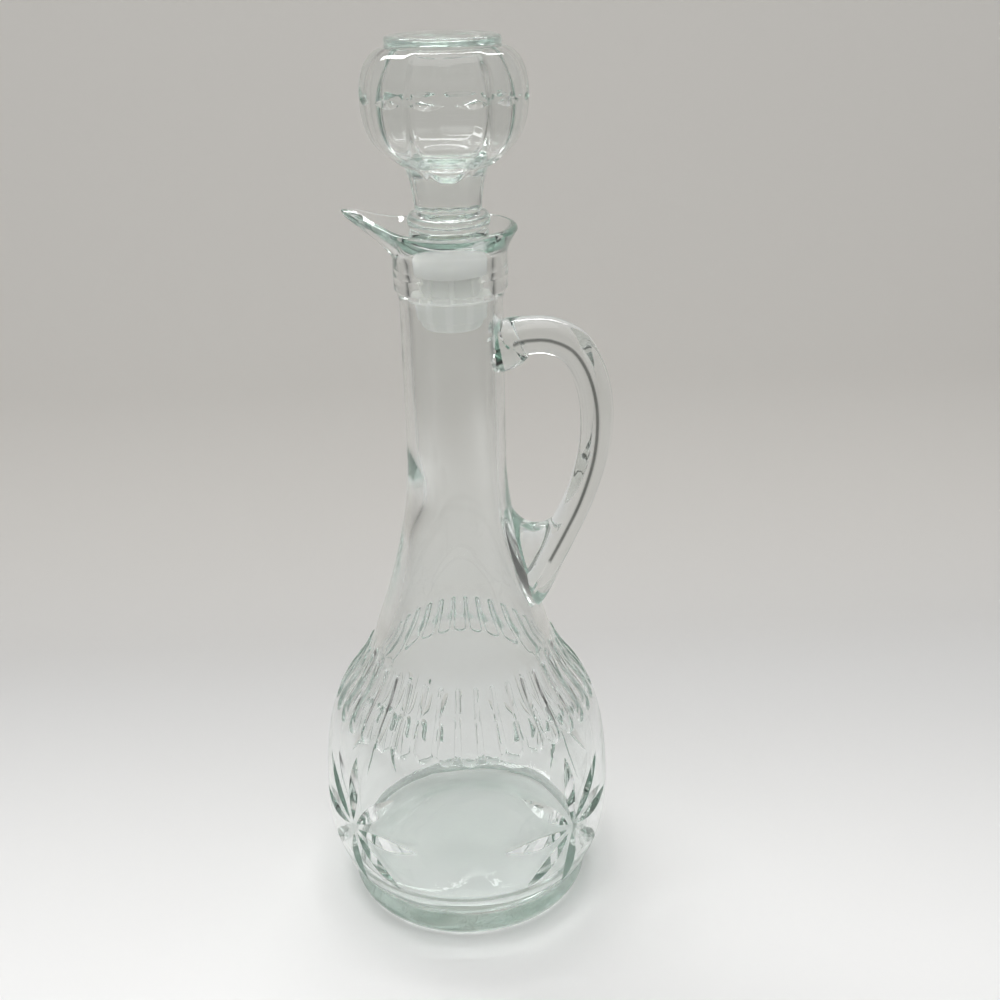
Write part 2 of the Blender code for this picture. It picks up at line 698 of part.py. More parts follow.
def sleeve_outline():
    """A flanged cup with a sealing ring, from the inside of its floor up, over the flange and down."""
    floor_z = SLEEVE_FOOT_Z + SLEEVE_FLOOR
    body = SLEEVE_BORE_RADIUS + SLEEVE_WALL
    seal = BORE_RADIUS - CLEARANCE
    seal_low = SEAL_Z - SEAL_THICKNESS
    inside = [(0.0, floor_z), (SLEEVE_BORE_RADIUS, floor_z), (SLEEVE_BORE_RADIUS, SLEEVE_TOP_Z)]
    flange = [
        (FLANGE_RADIUS - 0.0006, SLEEVE_TOP_Z),
        (FLANGE_RADIUS, SLEEVE_TOP_Z - 0.0006),
        (FLANGE_RADIUS, FLANGE_Z + 0.0008),
        (FLANGE_RADIUS - 0.0008, FLANGE_Z),
    ]
    ring = [(body, FLANGE_Z), (body, SEAL_Z), (seal - 0.0003, SEAL_Z), (seal, 0.5 * (SEAL_Z + seal_low))]
    ring += [(seal - 0.0003, seal_low), (CUP_RADIUS, seal_low)]
    cup = [(CUP_RADIUS, CUP_Z), (CUP_FOOT_RADIUS, SLEEVE_FOOT_Z), (0.0, SLEEVE_FOOT_Z)]
    return inside + flange + ring + cup


def rib_solids(collection):
    """Upright ribs between the flange and the sealing ring."""
    body = SLEEVE_BORE_RADIUS + SLEEVE_WALL
    low = SEAL_Z - 0.5 * SEAL_THICKNESS
    high = FLANGE_Z + 0.0005
    inner = body - 0.5 * SLEEVE_WALL
    outer = body + RIB_STAND
    bm = bmesh.new()
    bmesh.ops.create_cube(bm, size=1.0)
    bmesh.ops.scale(bm, vec=(outer - inner, RIB_WIDTH, high - low), verts=bm.verts)
    bmesh.ops.translate(bm, vec=(0.5 * (inner + outer), 0.0, 0.5 * (low + high)), verts=bm.verts)
    mesh = bpy.data.meshes.new("Rib")
    bm.to_mesh(mesh)
    bm.free()
    turns = [2 * math.pi * i / RIB_COUNT + math.radians(4.5) for i in range(RIB_COUNT)]
    return joined_copies("RibSolids", [(mesh, Matrix.Rotation(turn, 4, "Z")) for turn in turns], collection)


def make_sleeve(parts, cutters, plastic):
    sleeve = turned("stopper_sleeve", sleeve_outline(), SMALL_STEPS, parts)
    boolean(sleeve, rib_solids(cutters), "UNION")
    finish(sleeve, plastic)


def main():
    clear_scene()
    parts = new_collection("Decanter")
    cutters = new_collection("Cutters")
    vessel_glass = glass_material("Vessel glass", (0.90, 0.96, 0.93), 0.02)
    handle_glass = glass_material("Handle glass", (0.89, 0.96, 0.92), 0.02)
    stopper_glass = glass_material("Stopper glass", (0.91, 0.96, 0.94), 0.02)
    make_vessel(parts, cutters, vessel_glass)
    make_handle(parts, cutters, handle_glass)
    make_stopper(parts, cutters, stopper_glass)
    make_sleeve(parts, cutters, plastic_material())


main()
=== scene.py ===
# Looks of a glass decanter: the pressed vessel with its loop handle, the faceted hollow stopper and the
# milky sleeve that seats it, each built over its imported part. Sizes are in millimetres and become metres
# when a mesh is made. Z is up, the spout points along -X and the handle along +X.
import math

import bmesh
import bpy
import numpy as np
from mathutils import Matrix, Vector


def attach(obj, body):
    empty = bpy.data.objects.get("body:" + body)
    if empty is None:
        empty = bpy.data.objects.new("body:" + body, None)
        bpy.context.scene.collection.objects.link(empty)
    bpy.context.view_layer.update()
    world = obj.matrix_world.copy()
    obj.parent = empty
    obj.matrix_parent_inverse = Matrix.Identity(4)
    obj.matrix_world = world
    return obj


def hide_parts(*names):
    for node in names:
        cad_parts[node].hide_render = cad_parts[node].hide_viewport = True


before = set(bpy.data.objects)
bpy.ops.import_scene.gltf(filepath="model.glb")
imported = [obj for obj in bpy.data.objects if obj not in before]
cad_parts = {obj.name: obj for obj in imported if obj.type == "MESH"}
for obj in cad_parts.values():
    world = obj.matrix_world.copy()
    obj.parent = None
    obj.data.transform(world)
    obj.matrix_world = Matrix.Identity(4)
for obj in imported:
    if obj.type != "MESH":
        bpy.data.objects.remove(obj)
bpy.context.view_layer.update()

scene = bpy.context.scene
mm = 0.001
tiny = 1e-6  # under this size a ring is a single point
levelSlack = 1e-7  # metres, within which a face is a cap at its level
weldDistance = 2e-6  # metres, between the rows that two parts share


def bezierRun(start, first, second, end, count):
    # one cubic curve in the r, z plane: corners weighted (1-t)^3, 3t(1-t)^2, 3t^2(1-t), t^3; without its start
    t = np.linspace(0.0, 1.0, count + 1)[1:, None]
    weights = ((1 - t) ** 3, 3 * t * (1 - t) ** 2, 3 * t**2 * (1 - t), t**3)
    return sum(w * np.array(corner, float) for w, corner in zip(weights, (start, first, second, end)))


def joinRuns(*runs):
    return np.vstack([np.atleast_2d(np.array(run, float)) for run in runs])


def lifted(pairs, height):
    # radii and heights, moved up
    return [(r, height + rise) for r, rise in pairs]


def pathThrough(points, perSpan):
    # a curve through every row of points: each span is the cubic whose end slopes are half the step
    # between the neighbours on both sides
    points = np.array(points, float)
    padded = np.vstack([2 * points[0] - points[1], points, 2 * points[-1] - points[-2]])
    before, start, end, after = padded[:-3], padded[1:-2], padded[2:-1], padded[3:]
    t = (np.arange(perSpan) / perSpan)[None, :, None]
    slopeStart, slopeEnd = 0.5 * (end - before), 0.5 * (after - start)
    a, b = (2 * t**3 - 3 * t**2 + 1), (t**3 - 2 * t**2 + t)
    c, d = (-2 * t**3 + 3 * t**2), (t**3 - t**2)
    spans = a * start[:, None] + b * slopeStart[:, None] + c * end[:, None] + d * slopeEnd[:, None]
    return np.vstack([spans.reshape(-1, points.shape[1]), points[-1:]])


def easeDown(x):
    # 1 up to 0, then half a cosine down to 0 at 1
    return 0.5 + 0.5 * np.cos(np.pi * np.clip(x, 0.0, 1.0))


def turnFlat(x, y, turn):
    # x and y after a turn about Z
    c, n = math.cos(turn), math.sin(turn)
    return c * x - n * y, n * x + c * y


def ringAt(radius, angle, z):
    # x = r cos a, y = r sin a, or the single point of a pole where r is 0
    if np.max(radius) < tiny:
        return np.array([[0.0, 0.0, z]])
    return np.stack([radius * np.cos(angle), radius * np.sin(angle), z + np.zeros(len(angle))], 1)


def turnProfile(profile, count):
    # rings of a turned shape, each at the radius and height of its row in the profile
    angle = 2 * np.pi * np.arange(count) / count
    return [ringAt(r, angle, z) for r, z in profile]


def skinRings(rings, capStart=False, capEnd=False):
    # faces between neighbouring rings: where one ring has k times the points of the next, each face takes
    # k steps on its side and one on the other, and a ring of one point is a pole
    sizes = [len(ring) for ring in rings]
    starts = np.concatenate([[0], np.cumsum(sizes)])
    faces = []
    for i, (low, high) in enumerate(zip(sizes, sizes[1:])):
        if low == 1:
            j = np.arange(high)
            block = np.stack([np.full(high, starts[i]), starts[i + 1] + (j + 1) % high, starts[i + 1] + j], 1)
        elif high == 1:
            j = np.arange(low)
            block = np.stack([starts[i] + j, starts[i] + (j + 1) % low, np.full(low, starts[i + 1])], 1)
        else:
            few = min(low, high)
            j = np.arange(few)[:, None]
            lowStep, highStep = low // few, high // few
            lowSide = starts[i] + (lowStep * j + np.arange(lowStep + 1)) % low
            highSide = starts[i + 1] + (highStep * j + np.arange(highStep, -1, -1)) % high
            block = np.hstack([lowSide, highSide])
        faces += block.tolist()
    if capStart:
        faces.append(list(range(sizes[0]))[::-1])
    if capEnd:
        faces.append(list(range(starts[-2], starts[-1])))
    return np.vstack(rings), faces


def makeMesh(name, points, faces):
    mesh = bpy.data.meshes.new(name)
    mesh.from_pydata((np.asarray(points) * mm).tolist(), [], faces)
    mesh.update()
    return mesh


def makeObject(name, mesh):
    obj = bpy.data.objects.new(name, mesh)
    scene.collection.objects.link(obj)
    return obj


def applyBooleans(mesh, steps):
    # the mesh after exact booleans with other meshes, worked out in order
    base = makeObject("workPiece", mesh)
    helpers = []
    for operation, other in steps:
        helper = makeObject("workTool", other)
        modifier = base.modifiers.new("step", "BOOLEAN")
        modifier.object = helper
        modifier.operation = operation
        modifier.solver = "EXACT"
        modifier.use_self = operation == "DIFFERENCE"
        helpers.append(helper)
    graph = bpy.context.evaluated_depsgraph_get()
    graph.update()
    made = bpy.data.meshes.new_from_object(base.evaluated_get(graph), depsgraph=graph)
    for obj in [base, *helpers]:
        bpy.data.objects.remove(obj, do_unlink=True)
    return made


def mergeMeshes(name, parts, levels=()):
    # one mesh out of several, without the flat caps at these heights, welded
    bm = bmesh.new()
    for part in parts:
        bm.from_mesh(part)
    for level in levels:
        flat = [f for f in bm.faces if all(abs(v.co.z - level * mm) < levelSlack for v in f.verts)]
        bmesh.ops.delete(bm, geom=flat, context="FACES_ONLY")
    bmesh.ops.remove_doubles(bm, verts=bm.verts, dist=weldDistance)
    mesh = bpy.data.meshes.new(name)
    bm.to_mesh(mesh)
    bm.free()
    return mesh


def faceOutwards(mesh):
    bm = bmesh.new()
    bm.from_mesh(mesh)
    bmesh.ops.recalc_face_normals(bm, faces=bm.faces)
    if bm.calc_volume(signed=True) < 0.0:
        bmesh.ops.reverse_faces(bm, faces=bm.faces)
    bm.to_mesh(mesh)
    bm.free()
    return mesh


def joinSkins(name, skins):
    # closed skins as one mesh that faces outwards
    points, faces, start = [], [], 0
    for skinPoints, skinFaces in skins:
        points.append(skinPoints)
        faces += [[i + start for i in face] for face in skinFaces]
        start += len(skinPoints)
    return faceOutwards(makeMesh(name, np.vstack(points), faces))


def reportMesh(label, mesh):
    bm = bmesh.new()
    bm.from_mesh(mesh)
    openEdges = sum(1 for e in bm.edges if len(e.link_faces) != 2)
    triangles = sum(len(f.verts) - 2 for f in bm.faces)
    volume = bm.calc_volume(signed=True) * 1e6
    bm.free()
    print(f"{label}: {triangles} triangles, {openEdges} open edges, {volume:.1f} cm3")


vessel = {  # each pair is a radius and a height
    "footRadius": 44.0,
    "footHeight": 11.0,
    "footEdge": 2.2,
    "grooveDepth": 0.8,
    "puntRadius": 36.3,
    "puntRise": 1.8,
    "puntPower": 1.6,
    "bowlStart": (45.8, 11.8),
    "bowlCorners": ((48.9, 16.3), (52.0, 24.5)),
    "widest": (52.0, 36.0),
    "shoulderCorners": ((52.0, 55.2), (50.1, 73.9)),
    "turn": (39.5, 86.5),
    "flankCorners": ((30.8, 96.8), (16.8, 139.8)),
    "neckFoot": (16.5, 166.0),
    "neckTop": 221.0,
    "bowlLow": 20.0,  # the bowl's rows stand closer below this height
    "bowlTop": 71.2,  # the flutes lie between the plain bowl's top and the plain neck's start
    "neckStart": 100.8,
    "collarRadius": 18.0,
    "collarSwell": 0.02,
    "collarFoot": 225.5,
    "collarTop": 235.5,
    "mouldLine": 229.9,
    "mouldLineStand": 0.14,
    "rimRadius": 21.3,
    "rimTop": 244.5,
    "rimRound": 1.3,
    "around": 288,
    "neckAround": 144,
}

inside = {
    "boreRadius": 13.25,
    "boreTopShare": 0.10,  # of the lip's climb, where the flare meets the bore
    "boreFoot": 172.0,
    "wallHeights": (36.0, 90.0, 120.0, 145.0, 166.0),
    "wallThickness": (4.8, 4.6, 4.5, 3.9, 3.25),
    "floor": (
        (46.9, 28.0), (46.0, 22.0), (43.4, 17.2), (38.5, 14.2),
        (30.0, 12.8), (20.0, 12.4), (10.0, 12.3), (0.0, 12.2),
    ),
    "waistDepth": 1.7,  # the thick place in the neck
    "waistHeight": 155.0,
    "waistSpread": 18.0,
    "waistHalfAngle": math.radians(125),
    "waves": (  # size, waves round, climb per millimetre, phase
        (0.10, 2, 0.05, 0.0), (0.07, 3, -0.11, 1.3), (0.05, 5, 0.07, 0.6), (0.05, 0, 0.21, 0.4),
    ),
    "waveRange": (14.0, 26.0, 196.0, 226.0),  # heights where the waves set in, are full, and fade out
    "swellSizes": (0.45, 0.22),  # of the floor
    "swellLengths": (6.3, 7.1, 3.9, 4.7),
    "swellTop": 17.0,
    "swellRun": 3.5,
}

spout = {
    "reach": 12.6,
    "innerReach": 9.6,
    "rise": 5.2,
    "halfAngle": math.radians(64),
    "pinch": 0.30,
    "innerPinch": 0.38,
    "sharpness": 2.4,
}

flutes = {
    "count": 36,
    "top": 97.0,
    "foot": 74.7,
    "shareTop": 0.385,  # half a flute's width, as a share of the pitch
    "shareFoot": 0.355,
    "drop": 0.85,  # how far the flutes lie under the ribs between them
    "runOut": 11.0,  # height over which that level climbs back above the ribs
    "hollow": (0.85, 0.15),  # share of the drop all over, and what the middle has on top
    "archFoot": 2.6,
    "archRun": (9.0, 2.5),  # above and below the foot
    "fade": 1.4,  # length over which a flute's foot runs out
    "softness": 0.12,
    "columns": (0.09, 0.18, 0.26, 0.32, 0.35, 0.375, 0.42),  # shares of the pitch, on both sides of the middle
    "columnShare": 0.36,  # the half width that these columns are laid out for
    "rowsOutside": (2.5, 1.6, 0.9, 0.4, 0.15, 0.0),  # distances from the feet and tops, away from the flutes
    "rowsInside": (0.15, 0.4, 0.8, 1.3, 1.9, 2.6),
    "crowdRun": 1.2,  # length over which even columns gather at the ribs' edges
}

stars = {
    "height": 41.3,
    "azimuths": (-137.5, -42.5, 42.5, 137.5),  # degrees from the handle's side
    "petals": 8,
    "start": 1.2,
    "length": 27.7,
    "halfWidth": 3.1,
    "depth": 2.2,
    "raised": 0.5,
    "rings": 25,
}

lipClimb = vessel["rimTop"] - vessel["collarTop"]
boreTop = vessel["collarTop"] + inside["boreTopShare"] * lipClimb


def outerProfile():
    # the plain outside between the foot and the neck's top, as three cubic curves and a straight neck
    v = vessel
    lower = bezierRun(v["bowlStart"], *v["bowlCorners"], v["widest"], 22)
    shoulder = bezierRun(v["widest"], *v["shoulderCorners"], v["turn"], 40)
    flank = bezierRun(v["turn"], *v["flankCorners"], v["neckFoot"], 60)
    return joinRuns(v["bowlStart"], lower, shoulder, flank, (v["neckFoot"][0], v["neckTop"]))


outside = outerProfile()


def outerRadius(z):
    return np.interp(z, outside[:, 1], outside[:, 0])


def outerNormal(z):
    # of the profile in the r, z plane: (1, -dr/dz), made one long
    z, reach = np.asarray(z), 0.4
    slope = (outerRadius(z + reach) - outerRadius(z - reach)) / (2 * reach)
    size = np.sqrt(1.0 + slope**2)
    return 1.0 / size, -slope / size


def footRings():
    # punt: z = rise * cos(quarter turn * (r/R)^power); then bearing ring, rounded edge, band and groove
    v = vessel
    radius, height, rounding = v["footRadius"], v["footHeight"], v["footEdge"]
    share = np.linspace(0.0, 1.0, 9)
    punt = np.stack([v["puntRadius"] * share, v["puntRise"] * np.cos(0.5 * np.pi * share ** v["puntPower"])], 1)
    bearing = radius - rounding
    edge = bezierRun((bearing, 0.0), (bearing + 0.6 * rounding, 0.0), (radius, 0.4 * rounding),
                     (radius, rounding), 7)
    top = height - 2 * v["grooveDepth"]
    band = [(radius, z) for z in np.linspace(rounding, top - 0.5, 6)[1:]]
    throat = (radius - v["grooveDepth"], height)
    groove = bezierRun(band[-1], (radius, top + 0.4), (radius - 0.5, height - 0.5), throat, 5)
    bowlFoot = (v["bowlStart"][0] - 0.6, v["bowlStart"][1] - 0.55)
    lift = bezierRun(throat, (radius - 0.3, height + 0.35), bowlFoot, v["bowlStart"], 4)
    middle = 0.5 * (v["puntRadius"] + bearing)
    return turnProfile(joinRuns(punt, (middle, 0.0), (bearing, 0.0), edge, band, groove, lift), v["around"])


def bowlRings():
    # plain rings at the outside's radius
    v = vessel
    low = np.linspace(v["bowlStart"][1], v["bowlLow"], 7)[:-1]
    heights = np.concatenate([low, np.linspace(v["bowlLow"], v["bowlTop"], 27)])
    return turnProfile(np.stack([outerRadius(heights), heights], 1), v["around"])


def fluteDrop(z):
    # full up to the ribs' tops, then half a cosine down to nothing
    return flutes["drop"] * easeDown((z - flutes["top"]) / flutes["runOut"])


def fluteRings():
    # rows follow the round feet of the flutes, columns crowd at the ribs' edges; a rib is a finger with an
    # arched top: away = distance to its middle line - half width, and the ground between the ribs lies
    # depth = drop * (1 - 1 / (1 + exp(away / softness))) * (flat + swell * cos(across)) * quarter sine at the foot
    f = flutes
    half = np.array(f["columns"])
    across = np.concatenate([-half[::-1], [0.0], half, [0.5]])
    even = np.arange(-len(half), len(half) + 2) / len(across)
    past, within = np.array(f["rowsOutside"]), np.array(f["rowsInside"])
    run = np.concatenate([-past, within])
    middle = np.linspace(f["foot"] + within[-1], f["top"] - within[-1], 12)[1:-1]
    heights = np.concatenate([f["foot"] + run, middle, f["top"] - run[::-1]])
    fromFoot = heights - f["foot"]
    crowd = np.clip(np.minimum(fromFoot, f["top"] - heights) + past[0], 0.0, f["crowdRun"]) / f["crowdRun"]
    climb = np.clip(fromFoot / (f["top"] - f["foot"]), 0.0, 1.0)[:, None]
    share = f["shareFoot"] + (f["shareTop"] - f["shareFoot"]) * climb
    spread = np.where(across == 0.5, 0.5, across * share / f["columnShare"])
    u = even + (spread - even) * crowd[:, None]
    arch = 1.0 - np.sqrt(np.clip(1.0 - (u / share) ** 2, 0.0, 1.0))
    nearFoot = np.clip(1.0 - np.abs(fromFoot) / np.where(fromFoot > 0, *f["archRun"]), 0.0, 1.0)
    z = heights[:, None] + f["archFoot"] * nearFoot[:, None] * arch
    radius = outerRadius(z)
    pitch = 2 * np.pi * radius / f["count"]
    ribHalf = (0.5 - share) * pitch
    away = np.hypot((0.5 - np.abs(u)) * pitch, np.clip(z - f["top"] + ribHalf, 0.0, None)) - ribHalf
    ground = 1.0 - 1.0 / (1.0 + np.exp(np.clip(away / f["softness"], -30.0, 30.0)))
    flat, swell = f["hollow"]
    hollow = flat + swell * np.cos(np.pi * np.clip(u / share, -1.0, 1.0))
    footRun = np.sin(0.5 * np.pi * np.clip(fromFoot / f["fade"], 0.0, 1.0))[:, None]
    depth = fluteDrop(z) * ground * hollow * footRun
    normalR, normalZ = outerNormal(z)
    turns = (np.arange(f["count"]) + 0.5)[:, None]
    angle = (2 * np.pi * (turns + u[:, None, :]) / f["count"]).reshape(len(heights), -1)
    r = np.tile(radius - depth * normalR, (1, f["count"]))
    z = np.tile(z - depth * normalZ, (1, f["count"]))
    return [np.roll(ringAt(*row), 1, axis=0) for row in zip(r, angle, z)]  # each then starts at angle 0


def neckRings():
    # radius = outside's - the flutes' level, which climbs back to nothing above them
    v = vessel
    foot, top = v["neckFoot"][1], v["neckTop"]
    taper, straight = np.linspace(v["neckStart"], foot, 34), np.linspace(foot + 2.0, top - 2.0, 20)
    heights = np.concatenate([taper, straight, [top]])
    radius = outerRadius(heights) - flutes["hollow"][0] * fluteDrop(heights)
    return turnProfile(np.stack([radius, heights], 1), v["neckAround"])


def pullSpout(points, reach, pinch):
    # the lip drawn out along -X: share = (half plus half cosine of the turn)^sharpness times the climb
    points = points.copy()
    climb = np.clip((points[:, 2] - vessel["collarTop"]) / lipClimb, 0.0, 1.0)
    turn = np.abs(np.arctan2(points[:, 1], -points[:, 0]))
    share = easeDown(turn / spout["halfAngle"]) ** spout["sharpness"] * climb
    points[:, 0] -= reach * share
    points[:, 2] += spout["rise"] * share
    points[:, 1] *= 1.0 - pinch * share
    return points


def lipRings():
    # collar with its fine mould line, hollow under the lip, rounded rim and the flare into the bore
    v = vessel
    neckTop = (v["neckFoot"][0], v["neckTop"])
    radius, foot, top, line = v["collarRadius"], v["collarFoot"], v["collarTop"], v["mouldLine"]
    swollen, ridge = radius + v["collarSwell"], radius + v["mouldLineStand"]
    bevel = bezierRun(neckTop, (neckTop[0] + 0.1, neckTop[1] + 1.6), (radius - 0.6, foot - 1.3), (radius, foot), 6)
    side = [(radius, foot + 0.5), (swollen, foot + 2.0), (swollen, line - 0.5), (ridge, line - 0.2),
            (ridge, line + 0.2), (swollen, line + 0.5), (swollen, top - 3.0), (radius, top - 0.5)]
    rim, rimTop, rounding = v["rimRadius"], v["rimTop"], v["rimRound"]
    rimFoot = (rim, rimTop - rounding)
    under = bezierRun(side[-1], (radius - 0.3, top + 0.35 * lipClimb), (rim - 0.9, rimTop - 0.38 * lipClimb),
                      rimFoot, 10)
    over = bezierRun(rimFoot, (rim, rimTop - 0.4 * rounding), (rim - 0.4 * rounding, rimTop),
                     (rim - rounding, rimTop), 6)
    mouth = (rim - rounding - 0.4, rimTop - 0.02)
    bore = inside["boreRadius"]
    flare = bezierRun(mouth, (mouth[0] - 3.0, rimTop - 0.25 * lipClimb), (bore + 0.2, boreTop + 0.35 * lipClimb),
                      (bore, boreTop), 10)
    outer = turnProfile(joinRuns(neckTop, bevel, side, under, over), v["around"])
    inner = turnProfile(joinRuns(mouth, flare), v["around"])
    return ([pullSpout(ring, spout["reach"], spout["pinch"]) for ring in outer]
            + [pullSpout(ring, spout["innerReach"], spout["innerPinch"]) for ring in inner])


def insideRings():
    # bore, taper, bowl wall and rounded floor on one smooth curve. Its radius carries waves, size * sin(n * turn
    # + climb * z + phase), and loses depth * half cosine of the height * half cosine of the turn on the spout's
    # side. The floor swells by a * sin(x) * sin(y) + b * sin(x - y)
    g = inside
    bore = [(g["boreRadius"], z) for z in np.linspace(boreTop, g["boreFoot"], 9)]
    heights = np.linspace(g["wallHeights"][-1], g["wallHeights"][0], 22)
    wall = np.interp(heights, g["wallHeights"], g["wallThickness"])
    normalR, normalZ = outerNormal(heights)
    bowl = np.stack([outerRadius(heights) - wall * normalR, heights - wall * normalZ], 1)
    profile = pathThrough(joinRuns(bore, bowl, g["floor"]), 4)[1:]
    begin, full, ease, end = g["waveRange"]
    (size, fineSize), (a, b, c, d) = g["swellSizes"], g["swellLengths"]
    rings = []
    for ring in turnProfile(profile, vessel["neckAround"]):
        x, y, z = ring.T
        across, angle, turn = np.hypot(x, y), np.arctan2(y, x), np.abs(np.arctan2(y, -x))
        nearWaist = easeDown(np.abs(z - g["waistHeight"]) / g["waistSpread"])
        nearSpout = easeDown(turn / g["waistHalfAngle"])
        still = np.clip((end - z) / (end - ease), 0.0, 1.0) * np.clip((z - begin) / (full - begin), 0.0, 1.0)
        wave = sum(w * np.sin(n * angle + climb * z + phase) for w, n, climb, phase in g["waves"])
        moved = across + wave * still - g["waistDepth"] * nearWaist * nearSpout
        scale = np.where(across > tiny, moved / np.maximum(across, tiny), 1.0)
        low = np.clip((g["swellTop"] - z) / g["swellRun"], 0.0, 1.0)
        swell = size * np.sin(x / a + 1.0) * np.sin(y / b + 0.5) + fineSize * np.sin(x / c - y / d)
        rings.append(np.stack([x * scale, y * scale, z + swell * low], 1))
    return rings


def petalCutters():
    # lens-shaped mitre cuts laid on the bowl: with t from -1 to 1 along a petal, half width and depth both
    # go as 1 - t^2, and the section is a V
    s = stars
    t = -np.cos(np.linspace(0.0, np.pi, s["rings"]))
    corners = np.array([(1.0, 0.0), (0.0, 1.0), (-1.0, 0.0), (0.0, -1.0)])
    skins = []
    for azimuth in s["azimuths"]:
        for petal in range(s["petals"]):
            lean = 2 * np.pi * petal / s["petals"]
            rings = []
            for tk in t:
                swell = 1.0 - tk**2
                shape = corners if swell > tiny else np.zeros((1, 2))
                along = s["start"] + 0.5 * s["length"] * (1.0 + tk)
                width = s["halfWidth"] * swell * shape[:, 0]
                stand = s["raised"] + (s["depth"] + s["raised"]) * swell * shape[:, 1]
                side = along * math.cos(lean) - width * math.sin(lean)
                z = s["height"] + along * math.sin(lean) + width * math.cos(lean)
                normalR, normalZ = outerNormal(z)
                angle = math.radians(azimuth) + side / outerRadius(z)
                rings.append(ringAt(outerRadius(z) + stand * normalR, angle, z + stand * normalZ))
            skins.append(skinRings(rings))
    return joinSkins("petalCuts", skins)


handle = {  # the pairs are shares of the reach and of the height; a route's third value is its thickness
    "reach": 46.5,
    "topHeight": 208.7,
    "height": 82.5,
    "thickness": 11.2,
    "width": 11.8,
    "route": (
        (0.20, 0.955, 1.75), (0.37, 0.972, 1.50), (0.42, 0.990, 1.26), (0.52, 1.003, 1.10), (0.68, 1.000, 1.07),
        (0.84, 0.952, 1.05), (0.95, 0.840, 1.01), (1.00, 0.690, 0.97), (0.98, 0.510, 0.94), (0.89, 0.325, 0.90),
        (0.77, 0.170, 0.94), (0.645, 0.028, 1.02), (0.54, -0.090, 1.12), (0.42, -0.165, 1.30),
    ),
    "seamDepth": 0.45,
    "seamWidth": 0.045,  # half width, as a share of a half turn round the rod
    "seamMark": 0.85,  # half width of its painted dark line
    "seamStrength": 1.7,
    "seamHeights": (130.0, 217.0),
    "seamFrom": 19.5,  # its painted dark line starts this far from the vessel's axis
    "seamFront": -4.4,  # and lies in front of this
    "webUpper": (
        (0.30, 0.370), (0.345, 0.345), (0.365, 0.310), (0.385, 0.275), (0.42, 0.240), (0.484, 0.207),
        (0.56, 0.193), (0.64, 0.200), (0.71, 0.228), (0.77, 0.275), (0.82, 0.330),
    ),
    "webLower": (
        (0.20, 0.300), (0.22, 0.240), (0.24, 0.180), (0.27, 0.110), (0.31, 0.030), (0.36, -0.050),
        (0.45, -0.080), (0.58, -0.020), (0.68, 0.080), (0.77, 0.170), (0.85, 0.250),
    ),
    "webHalfWidth": 4.8,
    "webSquareness": (0.85, 0.75),  # powers of the section's cosine and sine, 1 for an ellipse
}


def handlePath(name, perSpan):
    # the named route as a smooth path in the x, z plane, with its thickness where it has one
    shares = np.array(handle[name])
    x, z = shares[:, 0] * handle["reach"], handle["topHeight"] - (1.0 - shares[:, 1]) * handle["height"]
    return pathThrough(np.column_stack([x, z, shares[:, 2:]]), perSpan)


def rodMesh():
    # a tube along the route: an ellipse in the plane across the path, with a fine groove along the middle of
    # its front and back
    path = handlePath("route", 10)
    step = np.gradient(path[:, :2], axis=0)
    step /= np.linalg.norm(step, axis=1)[:, None]
    fine = handle["seamWidth"]
    quarter = np.append(np.linspace(0.0, 0.5 - 3 * fine, 9), 0.5 - np.array([1.6, 1.0, 0.5]) * fine)
    turn = np.concatenate([quarter, [0.5], 1.0 - quarter[::-1], 1.0 + quarter[1:], [1.5], 2.0 - quarter[:0:-1]])
    away = np.abs((turn % 1.0) - 0.5) / fine
    groove = handle["seamDepth"] * np.clip(1.0 - away, 0.0, 1.0)
    rings = []
    for (x, z, thick), (stepX, stepZ) in zip(path, step):
        half = 0.5 * handle["thickness"] * thick
        wide = half * handle["width"] / handle["thickness"] - groove
        inPlane = half * np.cos(np.pi * turn)
        rings.append(np.stack([x - inPlane * stepZ, wide * np.sin(np.pi * turn), z + inPlane * stepX], 1))
    return joinSkins("rod", [skinRings(rings, True, True)])


def webMesh():
    # the glass in the corner under the finger gap: a fat tube whose section spans from the gap's edge down to
    # a line hidden in the neck and the arm, as a slightly square oval: cosine and sine of the turn to a power
    turn = 2 * np.pi * np.arange(40) / 40
    waves = (np.cos(turn), np.sin(turn))
    lift, side = (np.sign(wave) * np.abs(wave) ** power for wave, power in zip(waves, handle["webSquareness"]))
    rings = []
    for upper, lower in zip(handlePath("webUpper", 5), handlePath("webLower", 5)):
        middle, reach = 0.5 * (upper + lower), 0.5 * (upper - lower)
        rings.append(np.stack([middle[0] + reach[0] * lift, handle["webHalfWidth"] * side,
                               middle[1] + reach[1] * lift], 1))
    return joinSkins("web", [skinRings(rings, True, True)])


def markSeamShade(mesh):
    # how much painted shade, a dark line along the mould seam, each point carries: full in the middle of the rod's
    # front, 0 from its half width on, where offset = distance to the path in the x, z plane
    h = handle
    flat = np.empty(len(mesh.vertices) * 3)
    mesh.vertices.foreach_get("co", flat)
    points = flat.reshape(-1, 3) / mm
    x, y, z = points.T
    low, high = h["seamHeights"]
    near = np.nonzero((x > h["seamFrom"]) & (z > low) & (z < high) & (y < h["seamFront"]))[0]
    path = handlePath("route", 40)[:, :2]
    offset = np.sqrt(((points[near][:, None, ::2] - path[None, :, :]) ** 2).sum(2)).min(1)
    mark = np.zeros(len(points))
    mark[near] = np.clip(h["seamStrength"] * (1.0 - offset / h["seamMark"]), 0.0, 1.0)
    mesh.attributes.new("seamShade", "FLOAT", "POINT").data.foreach_set("value", mark)


